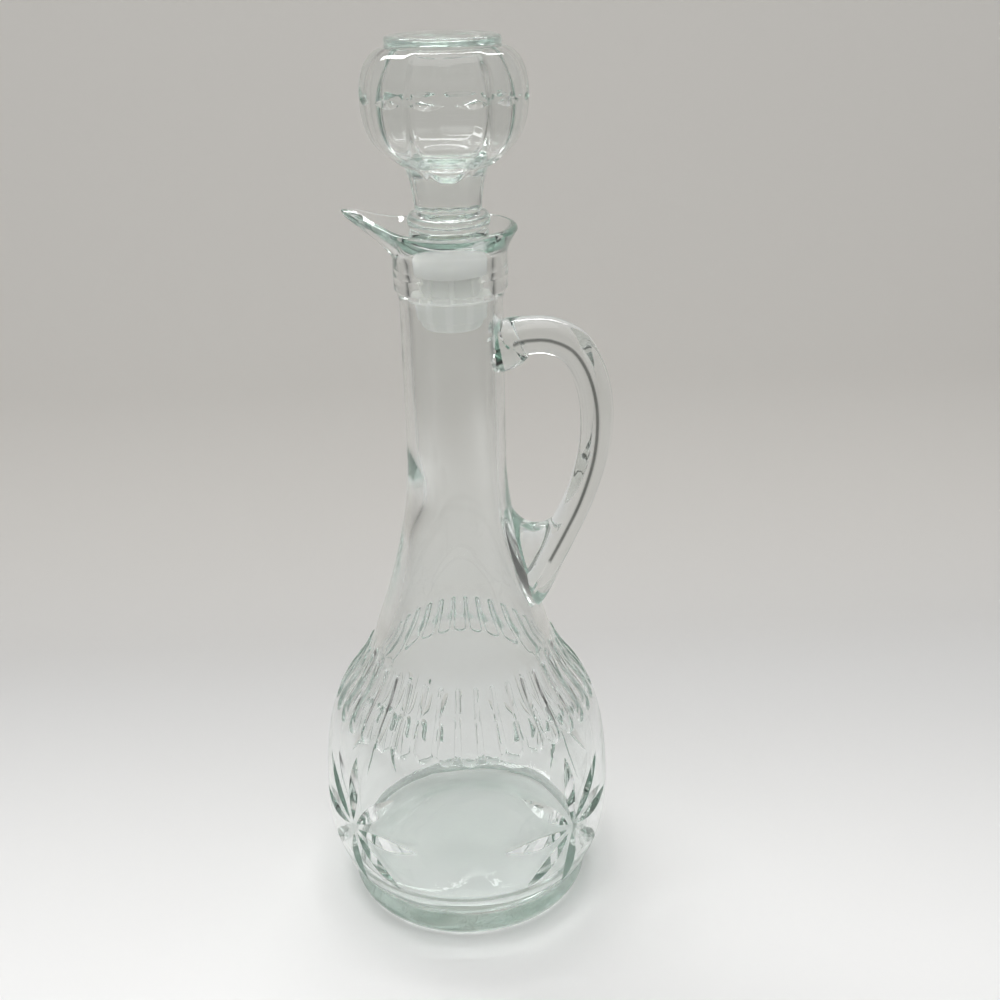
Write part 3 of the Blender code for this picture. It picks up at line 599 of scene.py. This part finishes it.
def makeVessel():
    bowl, fluted, neck, inner = bowlRings(), fluteRings(), neckRings(), insideRings()
    cutBowl = applyBooleans(makeMesh("bowl", *skinRings(bowl, True, True)), [("DIFFERENCE", petalCutters())])
    print("stars cut")
    heldNeck = applyBooleans(makeMesh("neck", *skinRings(neck, True, True)),
                             [("UNION", rodMesh()), ("UNION", webMesh())])
    print("handle fused")
    plain = [
        makeMesh("foot", *skinRings(footRings())),
        makeMesh("shoulder", *skinRings([bowl[-1], *fluted, neck[0]])),
        makeMesh("lip", *skinRings([neck[-1], *lipRings()[1:], *inner])),
    ]
    levels = [ring[0, 2] for ring in (bowl[0], bowl[-1], neck[0], neck[-1])]
    return mergeMeshes("glassBody", [cutBowl, heldNeck, *plain], levels)


bodyMesh = makeVessel()
markSeamShade(bodyMesh)
reportMesh("vessel", bodyMesh)

stopper = {
    "sides": 12,
    "turn": math.radians(7),
    "cornerSoftness": 0.012,
    "roundShare": 0.985,  # of the corner radius, where facets fade to a round section
    "shankFoot": 214.3,
    "shankRadius": 7.6,
    "shankRows": (220.0, 228.0, 236.0, 239.9),
    "beadFoot": 240.2,
    "underBead": 3.4,
    "underBeadRadii": (11.6, 12.8, 11.3),  # from the foot up, as in the next two
    "beadRadii": (13.5, 13.8, 10.2),
    "stemFoot": 249.2,
    "stemRadii": (10.4, 11.0, 11.8),
    "bellyCorners": ((13.6, 0.9), (21.4, 5.2)),  # radii, and heights over the knob's foot
    "crownCorners": ((22.7, -0.6), (17.8, 0.0)),  # radii, and heights over the knob's top
    "knobFoot": 261.7,
    "knobTop": 296.7,
    "widest": 282.7,
    "knobRadius": 25.6,
    "buttonRadius": 17.2,
    "buttonRise": 3.0,
    "buttonCrown": 1.3,
    "notchLength": 10.8,
    "notchHeight": 3.9,
    "notchDepth": 1.1,
    "notchEdge": 0.3,  # how far the lens's edge and back stand off the facet
    "notchBack": 1.6,
    "notchRings": 13,
    "around": 192,
}

cavity = {
    "top": 295.1,
    "radius": 19.6,
    "point": 258.7,
    "cornerSoftness": 0.006,
    "lid": (  # radius, and height over the top
        (0.0, -0.3), (4.0, -0.25), (8.0, -0.1), (11.8, 0.0), (12.2, -0.15),
        (12.5, -0.55), (12.8, -0.75), (13.1, -0.7), (13.35, -0.4), (13.6, -0.1),
    ),
    "corner": ((14.0, 0.1), (14.4, -0.3), (14.9, -1.2), (18.0, -6.0)),
    "waist": ((16.5, 6.6), (9.4, 5.4), (6.6, 4.8)),  # radius, and height over the knob's foot
    "tip": ((5.6, 2.2), (1.4, 0.15)),  # radius, and height over the point
    "facetFrom": 3.0,  # height over the knob's foot where the facets set in
    "facetRun": 5.0,  # height over which they grow
}


def facetedRings(profile, facets, softness):
    # rings whose section is a polygon with softened corners: r = apothem / cos(turn from the side's middle),
    # held under the corner radius by a soft minimum; facets says how much of it shows, ring by ring
    s = stopper
    angle = 2 * np.pi * np.arange(s["around"]) / s["around"] + s["turn"]
    side = 2 * np.pi / s["sides"]
    off = (angle - s["turn"]) % side - 0.5 * side
    sharp = math.cos(0.5 * side) / np.cos(off)
    cornered = 1.0 - np.sqrt((1.0 - sharp) ** 2 + softness**2)
    return [ringAt(r * (share * cornered + (1.0 - share) * s["roundShare"]), angle, z)
            for (r, z), share in zip(profile, facets)]


def notchCuts():
    # a lens cut across the middle of every facet: half length and depth go as 1 - t^2, section a V
    s = stopper
    face = s["knobRadius"] * math.cos(math.pi / s["sides"])
    skins = []
    for i in range(s["sides"]):
        turn = s["turn"] + 2 * np.pi * (i + 0.5) / s["sides"]
        rings = []
        for t in -np.cos(np.linspace(0.0, np.pi, s["notchRings"])):
            swell = 1.0 - t**2
            depth, half, edge = s["notchDepth"] * swell, 0.5 * s["notchHeight"] * swell, s["notchEdge"]
            section = [(-depth, 0.0), (edge, half), (s["notchBack"], 0.0), (edge, -half)]
            section = np.array(section if swell > tiny else [(edge, 0.0)])
            x, y = turnFlat(face + section[:, 0], 0.5 * s["notchLength"] * t, turn)
            rings.append(np.stack([x, y, s["widest"] + section[:, 1]], 1))
        skins.append(skinRings(rings))
    return joinSkins("notchCuts", skins)


def stopperOutside():
    # from the shank's foot up over the two beads, the stem, the knob and its domed button
    s = stopper
    foot, shank, beadFoot, stemFoot, knobFoot = (
        s[name] for name in ("shankFoot", "shankRadius", "beadFoot", "stemFoot", "knobFoot"))
    low = [(0.0, foot), (5.0, foot), (6.8, foot), (7.4, foot + 0.25), (shank, foot + 0.8),
           *((shank, z) for z in s["shankRows"]), (shank + 0.6, beadFoot)]
    first, fat, last = s["underBeadRadii"]
    mid = beadFoot + s["underBead"]
    under = bezierRun((first, beadFoot), (fat, beadFoot + 0.34), (fat, mid - 0.34), (last, mid), 9)
    lowFat, highFat, beadTop = s["beadRadii"]
    bead = bezierRun((last, mid), (lowFat, mid + 0.56), (highFat, stemFoot - 0.56), (beadTop, stemFoot + 0.1), 12)
    low = joinRuns(low, (first, beadFoot), under, bead)
    slim, stemLow, stemHigh = s["stemRadii"]
    knob, widest, seat = s["knobRadius"], s["widest"], s["knobTop"]
    start, (neck, bellyCorner) = (slim, stemFoot + 0.4), lifted(s["bellyCorners"], knobFoot)
    stem = bezierRun(start, (stemLow, stemFoot + 6.2), (stemHigh, knobFoot - 0.4), neck, 12)
    belly = bezierRun(neck, bellyCorner, (knob, widest - 11.2), (knob, widest), 14)
    crown = bezierRun((knob, widest), (knob, widest + 7.7), *lifted(s["crownCorners"], seat), 14)
    high = joinRuns(start, stem, belly, crown)
    button, top = s["buttonRadius"], seat + s["buttonRise"]
    cap = joinRuns((button + 0.15, seat + 0.05), (button, seat + 0.4), (button, top - 1.0),
                   bezierRun((button, top - 1.0), (button, top - 0.3), (button - 0.4, top + 0.1),
                             (button - 1.2, top + 0.17), 5),
                   [(button * q, top + s["buttonCrown"] * (1 - q**2)) for q in (0.8, 0.6, 0.4, 0.2, 0.0)])
    grow = np.linspace(0.0, 1.0, 5)  # rows of the stem over which the facets appear
    facets = np.concatenate([np.zeros(len(low)), grow, np.ones(len(high) - len(grow)), np.zeros(len(cap))])
    profile = joinRuns(low, high, cap)
    profile[facets == 0.0, 0] /= s["roundShare"]  # the plain rows keep their full radius
    return facetedRings(profile, facets, s["cornerSoftness"])


def cavityRings():
    # the knob's hollow, seen from within, so its rings run from the top down: flat top, faceted wall and
    # a pointed foot
    g = cavity
    r, top, point, foot, widest = g["radius"], g["top"], g["point"], stopper["knobFoot"], stopper["widest"]
    lid, (*corner, wallCorner) = lifted(g["lid"], top), lifted(g["corner"], top)
    (lowCorner, waist, funnelCorner), tip = lifted(g["waist"], foot), lifted(g["tip"], point)
    edge = bezierRun(lid[-1], *corner, 5)
    wall = bezierRun(corner[-1], wallCorner, (r, widest + 4.0), (r, widest - 1.0), 12)
    lower = bezierRun((r, widest - 1.0), (r, widest - 9.5), lowCorner, waist, 14)
    funnel = bezierRun(waist, funnelCorner, *tip, 9)
    profile = joinRuns(lid, edge, wall, lower, funnel, (0.0, point))
    facets = np.clip((profile[:, 1] - foot - g["facetFrom"]) / g["facetRun"], 0.0, 1.0)
    return facetedRings(profile, facets, g["cornerSoftness"])


def makeStopper():
    cut = applyBooleans(makeMesh("stopperOutside", *skinRings(stopperOutside())), [("DIFFERENCE", notchCuts())])
    return mergeMeshes("glassStopper", [cut, makeMesh("cavity", *skinRings(cavityRings()))])


stopperMesh = makeStopper()
reportMesh("stopper", stopperMesh)

sleeve = {
    "top": 239.9,
    "flangeFoot": 229.8,
    "flangeRadius": 11.55,
    "bodyRadius": 9.15,
    "boreRadius": 7.9,
    "sealTop": 224.0,
    "sealFoot": 223.1,
    "sealRadius": 12.95,
    "cupRadius": 11.1,
    "cupFoot": 216.7,
    "foot": 212.7,
    "footRadius": 8.5,
    "floor": 214.0,
    "boreRows": (222.0, 231.0),
    "bodyRow": 227.5,
    "cupRow": 220.0,
    "ribs": 8,
    "ribTurn": math.radians(4.5),
    "ribHalfWidth": 0.8,
    "ribStand": 0.8,
    "ribRoot": 0.6,
    "around": 160,
}


def sleeveProfile():
    # from the inside of the floor up the bore, over the flange, down the body, round the sealing ring and cup
    s = sleeve
    floor, bore, top, edge, under = s["floor"], s["boreRadius"], s["top"], s["flangeRadius"], s["flangeFoot"]
    within = [(0.0, floor), (4.0, floor), (bore - 0.5, floor), (bore - 0.12, floor + 0.12), (bore, floor + 0.5),
              *((bore, z) for z in s["boreRows"]), (bore, top - 0.4), (bore + 0.3, top)]
    topEdge = bezierRun((edge - 0.7, top), (edge - 0.2, top), (edge, top - 0.2), (edge, top - 0.7), 4)
    lowEdge = bezierRun((edge, under + 0.8), (edge, under + 0.2), (edge - 0.3, under), (edge - 0.8, under), 4)
    flange = joinRuns((edge - 0.7, top), topEdge, (edge, under + 5.0), (edge, under + 0.8), lowEdge)
    body, high, low, seal = s["bodyRadius"], s["sealTop"], s["sealFoot"], s["sealRadius"]
    stem = [(body + 0.3, under - 0.02), (body, under - 0.4), (body, s["bodyRow"]), (body, high + 0.3),
            (body + 0.3, high)]
    cup, cupFoot, foot, footEdge = s["cupRadius"], s["cupFoot"], s["foot"], s["footRadius"]
    ring = [(seal - 0.35, high), (seal - 0.05, high - 0.2), (seal, 0.5 * (high + low)), (seal - 0.05, low + 0.2),
            (seal - 0.35, low), (cup + 0.25, low), (cup, low - 0.25)]
    cupSide = joinRuns((cup, s["cupRow"]), (cup, cupFoot - 0.2),
                       bezierRun((cup, cupFoot - 0.2), (cup, cupFoot - 0.8), (cup - 0.2, cupFoot - 1.0),
                                 (footEdge + 1.6, cupFoot - 1.2), 5),
                       bezierRun((footEdge + 1.5, cupFoot - 1.4), (footEdge + 1.4, foot + 1.6),
                                 (footEdge + 1.2, foot + 0.6), (footEdge + 0.4, foot + 0.15), 6),
                       (footEdge - 0.2, foot + 0.05), (footEdge - 0.6, foot), (4.0, foot), (0.0, foot))
    return joinRuns(within, flange, stem, ring, cupSide)


def ribBars():
    # upright bars between the flange and the sealing ring; outer edge = stand * (1 - across^4 / 2)
    s = sleeve
    across = np.linspace(-1.0, 1.0, 7)
    outer = s["bodyRadius"] + s["ribStand"] * (1.0 - 0.5 * across**4)
    root = s["bodyRadius"] - s["ribRoot"]
    x, y = np.append(outer, [root, root]), s["ribHalfWidth"] * np.append(across, [1.0, -1.0])
    skins = []
    for i in range(s["ribs"]):
        flat = turnFlat(x, y, 2 * np.pi * i / s["ribs"] + s["ribTurn"])
        rings = [np.column_stack([*flat, np.full(len(x), z)]) for z in (s["sealTop"] - 0.4, s["flangeFoot"] + 0.5)]
        skins.append(skinRings(rings, True, True))
    return joinSkins("ribBars", skins)


def makeSleeve():
    turned = joinSkins("sleeveBody", [skinRings(turnProfile(sleeveProfile(), sleeve["around"]))])
    return applyBooleans(turned, [("UNION", ribBars())])


sleeveMesh = makeSleeve()
reportMesh("sleeve", sleeveMesh)


def setInputs(tree, node, inputs):
    # each input is a socket to link from, or a plain value
    for key, value in inputs.items():
        if isinstance(value, bpy.types.NodeSocket):
            tree.links.new(value, node.inputs[key])
        else:
            node.inputs[key].default_value = value


def addNode(tree, kind, inputs=None, **settings):
    node = tree.nodes.new("ShaderNode" + kind)
    for name, value in settings.items():
        setattr(node, name, value)
    setInputs(tree, node, inputs or {})
    return node


def mathNode(tree, operation, *operands):
    return addNode(tree, "Math", dict(enumerate(operands)), operation=operation).outputs["Value"]


def mapRange(tree, value, fromMin, fromMax, toMin=0.0, toMax=1.0, interpolation="LINEAR"):
    inputs = {"Value": value, "From Min": fromMin, "From Max": fromMax, "To Min": toMin, "To Max": toMax}
    return addNode(tree, "MapRange", inputs, interpolation_type=interpolation).outputs["Result"]


def mixColour(tree, factor, a, b):
    return addNode(tree, "Mix", {"Factor": factor, "A": a, "B": b}, data_type="RGBA").outputs["Result"]


def placeAxes(tree, turn=0.0):
    # X, Y and Z of Object coordinates, turned about Z
    place = addNode(tree, "TexCoord").outputs["Object"]
    if turn:
        place = addNode(tree, "Mapping", {"Vector": place, "Rotation": (0.0, 0.0, turn)}).outputs["Vector"]
    return addNode(tree, "SeparateXYZ", {"Vector": place}).outputs


def newMaterial(name):
    material = bpy.data.materials.new(name)
    material.use_nodes = True
    tree = material.node_tree
    return material, tree, tree.nodes["Principled BSDF"]


def surfaceGroup():
    # long soft swells and the fine pitting that pressed glass carries: height = pits * amount + swell
    group = bpy.data.node_groups.new("pressedSurface", "ShaderNodeTree")
    for name, direction, value in (("Swell Scale", "INPUT", 60.0), ("Pit Scale", "INPUT", 900.0),
                                   ("Pit Amount", "INPUT", 0.10), ("Height", "OUTPUT", 0.0),
                                   ("Roughness", "OUTPUT", 0.0)):
        socket = group.interface.new_socket(name=name, in_out=direction, socket_type="NodeSocketFloat")
        socket.default_value = value
    entry = group.nodes.new("NodeGroupInput").outputs
    place = addNode(group, "TexCoord").outputs["Object"]
    swell, pits = (
        addNode(group, "TexNoise", {"Vector": place, "Scale": entry[scale], "Detail": detail}).outputs["Fac"]
        for scale, detail in (("Swell Scale", 1.0), ("Pit Scale", 2.0)))
    setInputs(group, group.nodes.new("NodeGroupOutput"), {
        "Height": mathNode(group, "MULTIPLY_ADD", pits, entry["Pit Amount"], swell),
        "Roughness": mapRange(group, swell, 0.35, 0.75, 0.0, 0.012),
    })
    return group


pressedSurface = surfaceGroup()

glass = {
    "base": (0.984, 0.990, 0.987, 1.0),
    "ior": 1.52,
    # painted shade: near-black colour of the dark line along the handle's mould seam
    "seamShade": (0.05, 0.055, 0.05, 1.0),
    "absorbColour": (0.70, 0.82, 0.77, 1.0),
    "absorbDensity": 10.0,
    "stippleMiddle": 0.0056,  # metres, the stippled band round the foot
    "stippleHalf": 0.0034,
    "stippleFade": 0.0008,
    "stipple": 1.1,
    # painted shade that darkens the stippled foot band
    "stippleShadeColour": (0.86, 0.91, 0.885, 1.0),
}

plastic = {
    "pale": (0.985, 0.99, 0.94, 1.0),
    "dull": (0.92, 0.93, 0.88, 1.0),
    "ior": 1.5,
    "transmission": 0.05,
    "subsurface": 0.5,
    "subsurfaceRadius": (0.005, 0.005, 0.0047),
    "roughness": (0.28, 0.42),
    "swellScale": 180.0,
    "pitAmount": 0.4,
    "bumpDistance": 0.00006,
    "bands": 11.0,  # upright bands on the cup, where the ribs inside lie close
    "bandEdge": (0.2, 0.7),  # of the wave that makes them
    "bandsAbove": 0.1,  # how much of them shows above the sealing ring
}


def glassMaterial(name, swellScale, pitAmount, bumpDistance, pressed=False):
    material, tree, shader = newMaterial(name)
    colour, pits = glass["base"], pitAmount
    if pressed:  # the stippled foot, with painted shade on its band, and painted shade along the mould seam
        overBand = mathNode(tree, "SUBTRACT", placeAxes(tree)["Z"], glass["stippleMiddle"])
        pits = mapRange(tree, mathNode(tree, "ABSOLUTE", overBand), glass["stippleHalf"],
                        glass["stippleHalf"] + glass["stippleFade"], glass["stipple"], pitAmount)
        # painted shade: the stippled band's colour darkens towards the painted shade colour
        ground = mapRange(tree, pits, pitAmount, glass["stipple"])
        pale = mixColour(tree, ground, glass["base"], glass["stippleShadeColour"])
        # painted shade: a dark line along the handle's mould seam
        seamShade = addNode(tree, "Attribute", attribute_name="seamShade").outputs["Fac"]
        colour = mixColour(tree, seamShade, pale, glass["seamShade"])
    surface = addNode(tree, "Group", node_tree=pressedSurface)
    setInputs(tree, surface, {"Swell Scale": swellScale, "Pit Amount": pits})
    bump = addNode(tree, "Bump", {"Height": surface.outputs["Height"], "Distance": bumpDistance})
    absorb = addNode(tree, "VolumeAbsorption", {"Color": glass["absorbColour"], "Density": glass["absorbDensity"]})
    setInputs(tree, shader, {
        "Base Color": colour, "Metallic": 0.0, "IOR": glass["ior"], "Transmission Weight": 1.0,
        "Roughness": surface.outputs["Roughness"], "Normal": bump.outputs["Normal"],
    })
    setInputs(tree, tree.nodes["Material Output"], {"Volume": absorb.outputs["Volume"]})
    return material


def plasticMaterial():
    p = plastic
    material, tree, shader = newMaterial("milkyPlastic")
    surface = addNode(tree, "Group", node_tree=pressedSurface)
    setInputs(tree, surface, {"Swell Scale": p["swellScale"], "Pit Amount": p["pitAmount"]})
    bump = addNode(tree, "Bump", {"Height": surface.outputs["Height"], "Distance": p["bumpDistance"]})
    axes = placeAxes(tree)
    turn = mathNode(tree, "ARCTAN2", axes["Y"], axes["X"])
    wave = mathNode(tree, "SINE", mathNode(tree, "MULTIPLY", turn, p["bands"]))
    banded = mapRange(tree, wave, *p["bandEdge"], 1.0, 0.0)
    below = mapRange(tree, axes["Z"], sleeve["sealFoot"] * mm, sleeve["sealTop"] * mm, 1.0, p["bandsAbove"])
    setInputs(tree, shader, {
        "Base Color": mixColour(tree, mathNode(tree, "MULTIPLY", banded, below), p["pale"], p["dull"]),
        "Metallic": 0.0, "IOR": p["ior"], "Transmission Weight": p["transmission"],
        "Subsurface Weight": p["subsurface"], "Subsurface Radius": p["subsurfaceRadius"], "Subsurface Scale": 1.0,
        "Roughness": mapRange(tree, surface.outputs["Height"], 0.0, 1.0, *p["roughness"]),
        "Normal": bump.outputs["Normal"],
    })
    return material


def finishPiece(name, mesh, material, body, nodes, angle):
    mesh.materials.clear()
    mesh.materials.append(material)
    mesh.name = name
    mesh.shade_smooth()
    mesh.set_sharp_from_angle(angle=math.radians(angle))
    obj = makeObject(name, mesh)
    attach(obj, body)
    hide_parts(*nodes)


vesselGlass = glassMaterial("vesselGlass", swellScale=45.0, pitAmount=0.004, bumpDistance=0.00022, pressed=True)
stopperGlass = glassMaterial("stopperGlass", swellScale=70.0, pitAmount=0.004, bumpDistance=0.00015)
finishPiece("glassBody", bodyMesh, vesselGlass, "vessel", ("glass_vessel", "glass_handle"), 24)
finishPiece("facetedStopper", stopperMesh, stopperGlass, "stopper", ("glass_stopper",), 24)
finishPiece("plasticSleeve", sleeveMesh, plasticMaterial(), "sleeve", ("stopper_sleeve",), 30)
print("pieces placed")

stage = {  # in metres
    "turn": math.radians(4),
    "front": -1.6,
    "bend": 0.17,
    "bendRadius": 0.10,
    "wallTop": 0.52,
    "halfWidth": 2.2,
    "floorLevel": -0.00005,
    "floorColour": (0.80, 0.80, 0.795, 1.0),
    "wallColour": (0.715, 0.692, 0.655, 1.0),
    # painted shade: the dark colour the surroundings take to the sides, in front and in reflections
    "paintedShadeColour": (0.20, 0.20, 0.195, 1.0),
    "tone": (0.10, 0.30),  # distance behind the vessel's axis over which the floor's tone becomes the wall's
    "sideShade": (0.31, 0.60),  # distance to the sides over which painted shade darkens the surroundings, standing for the unlit room
    "frontShade": (-0.40, -1.1),  # and the same in front, a painted shadow on the floor ahead
    "mirroredShade": (-0.06, -0.45),  # and nearer in front, painted shade that only reflections see
    "roughness": 0.7,
    "specular": 0.2,
}


def sweepMesh():
    # one sheet: level floor, a quarter bend and an upright wall, turned to face the camera
    g = stage
    bend = np.linspace(0.0, 0.5 * np.pi, 25)
    y = np.concatenate([np.linspace(g["front"], g["bend"], 20)[:-1], g["bend"] + g["bendRadius"] * np.sin(bend),
                        np.full(8, g["bend"] + g["bendRadius"])])
    z = np.concatenate([np.zeros(19), g["bendRadius"] * (1 - np.cos(bend)),
                        np.linspace(g["bendRadius"], g["wallTop"], 9)[1:]])
    gridX, gridY = np.meshgrid(np.linspace(-g["halfWidth"], g["halfWidth"], 9), y)
    columns = gridX.shape[1]
    x, y = turnFlat(gridX, gridY, g["turn"])
    points = np.stack([x, y, np.repeat(z[:, None], columns, 1) + g["floorLevel"]], 2).reshape(-1, 3)
    i = np.arange(len(z) - 1)[:, None] * columns + np.arange(columns - 1)
    quads = np.stack([i, i + 1, i + columns + 1, i + columns], 2).reshape(-1, 4)
    return makeMesh("paleSweep", points / mm, quads.tolist())


def sweepMaterial():
    # pale where the vessel stands, painted shade far out to the sides, in front and in reflections, and clear from
    # behind
    g = stage
    material, tree, shader = newMaterial("paleSurface")
    axes = placeAxes(tree, -g["turn"])
    toWall, sides, frontShade, mirroredShade = (
        mapRange(tree, value, *g[name], interpolation="SMOOTHSTEP")
        for value, name in ((axes["Y"], "tone"), (mathNode(tree, "ABSOLUTE", axes["X"]), "sideShade"),
                            (axes["Y"], "frontShade"), (axes["Y"], "mirroredShade")))
    inMirror = mathNode(tree, "MULTIPLY", mirroredShade, addNode(tree, "LightPath").outputs["Is Glossy Ray"])
    # painted shade: the strongest of the three masks takes the surroundings to the dark colour
    paintedShade = mathNode(tree, "MAXIMUM", mathNode(tree, "MAXIMUM", sides, frontShade), inMirror)
    tone = mixColour(tree, toWall, g["floorColour"], g["wallColour"])
    setInputs(tree, shader, {"Base Color": mixColour(tree, paintedShade, tone, g["paintedShadeColour"]),
                             "Roughness": g["roughness"], "Specular IOR Level": g["specular"]})
    mix = addNode(tree, "MixShader", {
        0: addNode(tree, "NewGeometry").outputs["Backfacing"],
        1: shader.outputs["BSDF"],
        2: addNode(tree, "BsdfTransparent").outputs["BSDF"],
    })
    setInputs(tree, tree.nodes["Material Output"], {"Surface": mix.outputs["Shader"]})
    return material


def makeStage():
    obj = makeObject("paleSweep", sweepMesh())
    obj.data.shade_smooth()
    obj.data.materials.append(sweepMaterial())


light = {
    "worldStrength": 0.64,
    "roomColour": (0.34, 0.34, 0.335, 1.0),
    "target": (0.0, 0.0, 0.1),
    "panels": (  # name, place, width and depth in metres, watts
        ("stripLight", (-0.12, 0.50, 1.0), (1.4, 0.16), 7.5),
        ("softPanel", (0.0, -0.10, 1.3), (1.1, 1.1), 4.0),
    ),
}


def makeLight():
    # the world lights everything in plain white, and the camera, reflections and glass see the room's grey
    world = bpy.data.worlds.new("softRoom")
    scene.world = world
    world.use_nodes = True
    tree = world.node_tree
    plain = tree.nodes["Background"]
    setInputs(tree, plain, {"Color": (1.0, 1.0, 1.0, 1.0), "Strength": light["worldStrength"]})
    seen = addNode(tree, "Background", {"Color": light["roomColour"]})
    path = addNode(tree, "LightPath").outputs
    seenBy = mathNode(tree, "MAXIMUM", mathNode(tree, "MAXIMUM", path["Is Camera Ray"], path["Is Glossy Ray"]),
                      path["Is Transmission Ray"])
    first = mathNode(tree, "LESS_THAN", path["Diffuse Depth"], 0.5)  # light passed on to the floor stays light
    mix = addNode(tree, "MixShader", {0: mathNode(tree, "MULTIPLY", seenBy, first), 1: plain.outputs["Background"],
                                      2: seen.outputs["Background"]})
    setInputs(tree, tree.nodes["World Output"], {"Surface": mix.outputs["Shader"]})
    for name, place, size, watts in light["panels"]:
        data = bpy.data.lights.new(name, "AREA")
        data.shape = "ELLIPSE"
        data.size, data.size_y = size
        data.energy = watts
        lamp = bpy.data.objects.new(name, data)
        place = Vector(place)
        aim = (place - Vector(light["target"])).to_track_quat("Z", "Y").to_matrix().to_4x4()
        lamp.matrix_world = Matrix.Translation(place) @ aim
        scene.collection.objects.link(lamp)


camera = {
    "distance": 0.387,
    "height": 0.327,
    "pitch": math.radians(24.5),
    "roll": math.radians(1.1),
    "pan": math.radians(2.1),
    "lens": 45.0,
    "sensor": 36.0,
    "clipStart": 0.01,
}


def makeCamera():
    # stands in front of the vessel, looks down by the pitch, panned and rolled a little, turned as the stage is
    g = camera
    forward = Vector((math.sin(g["pan"]) * math.cos(g["pitch"]), math.cos(g["pan"]) * math.cos(g["pitch"]),
                      -math.sin(g["pitch"])))
    right = Vector((math.cos(g["pan"]), -math.sin(g["pan"]), 0.0))
    down = forward.cross(right)
    rolled = math.cos(g["roll"]) * right + math.sin(g["roll"]) * down
    rolledDown = forward.cross(rolled)
    spin = Matrix.Rotation(stage["turn"], 3, "Z")
    place = spin @ Vector((0.0, -g["distance"], g["height"]))
    axes = Matrix((spin @ rolled, spin @ -rolledDown, spin @ -forward)).transposed()
    data = bpy.data.cameras.new("viewCamera")
    data.lens = g["lens"]
    data.sensor_width = g["sensor"]
    data.clip_start = g["clipStart"]
    obj = bpy.data.objects.new("viewCamera", data)
    obj.matrix_world = Matrix.Translation(place) @ axes.to_4x4()
    scene.collection.objects.link(obj)
    scene.camera = obj


makeStage()
makeLight()
makeCamera()
scene.view_settings.view_transform = "Standard"
scene.cycles.blur_glossy = 0.0  # light that reaches the floor through the glass keeps its strength
scene.cycles.max_bounces = 64
scene.cycles.transmission_bounces = 64
scene.cycles.glossy_bounces = 32
scene.cycles.transparent_max_bounces = 16
print("stage, light and camera ready")
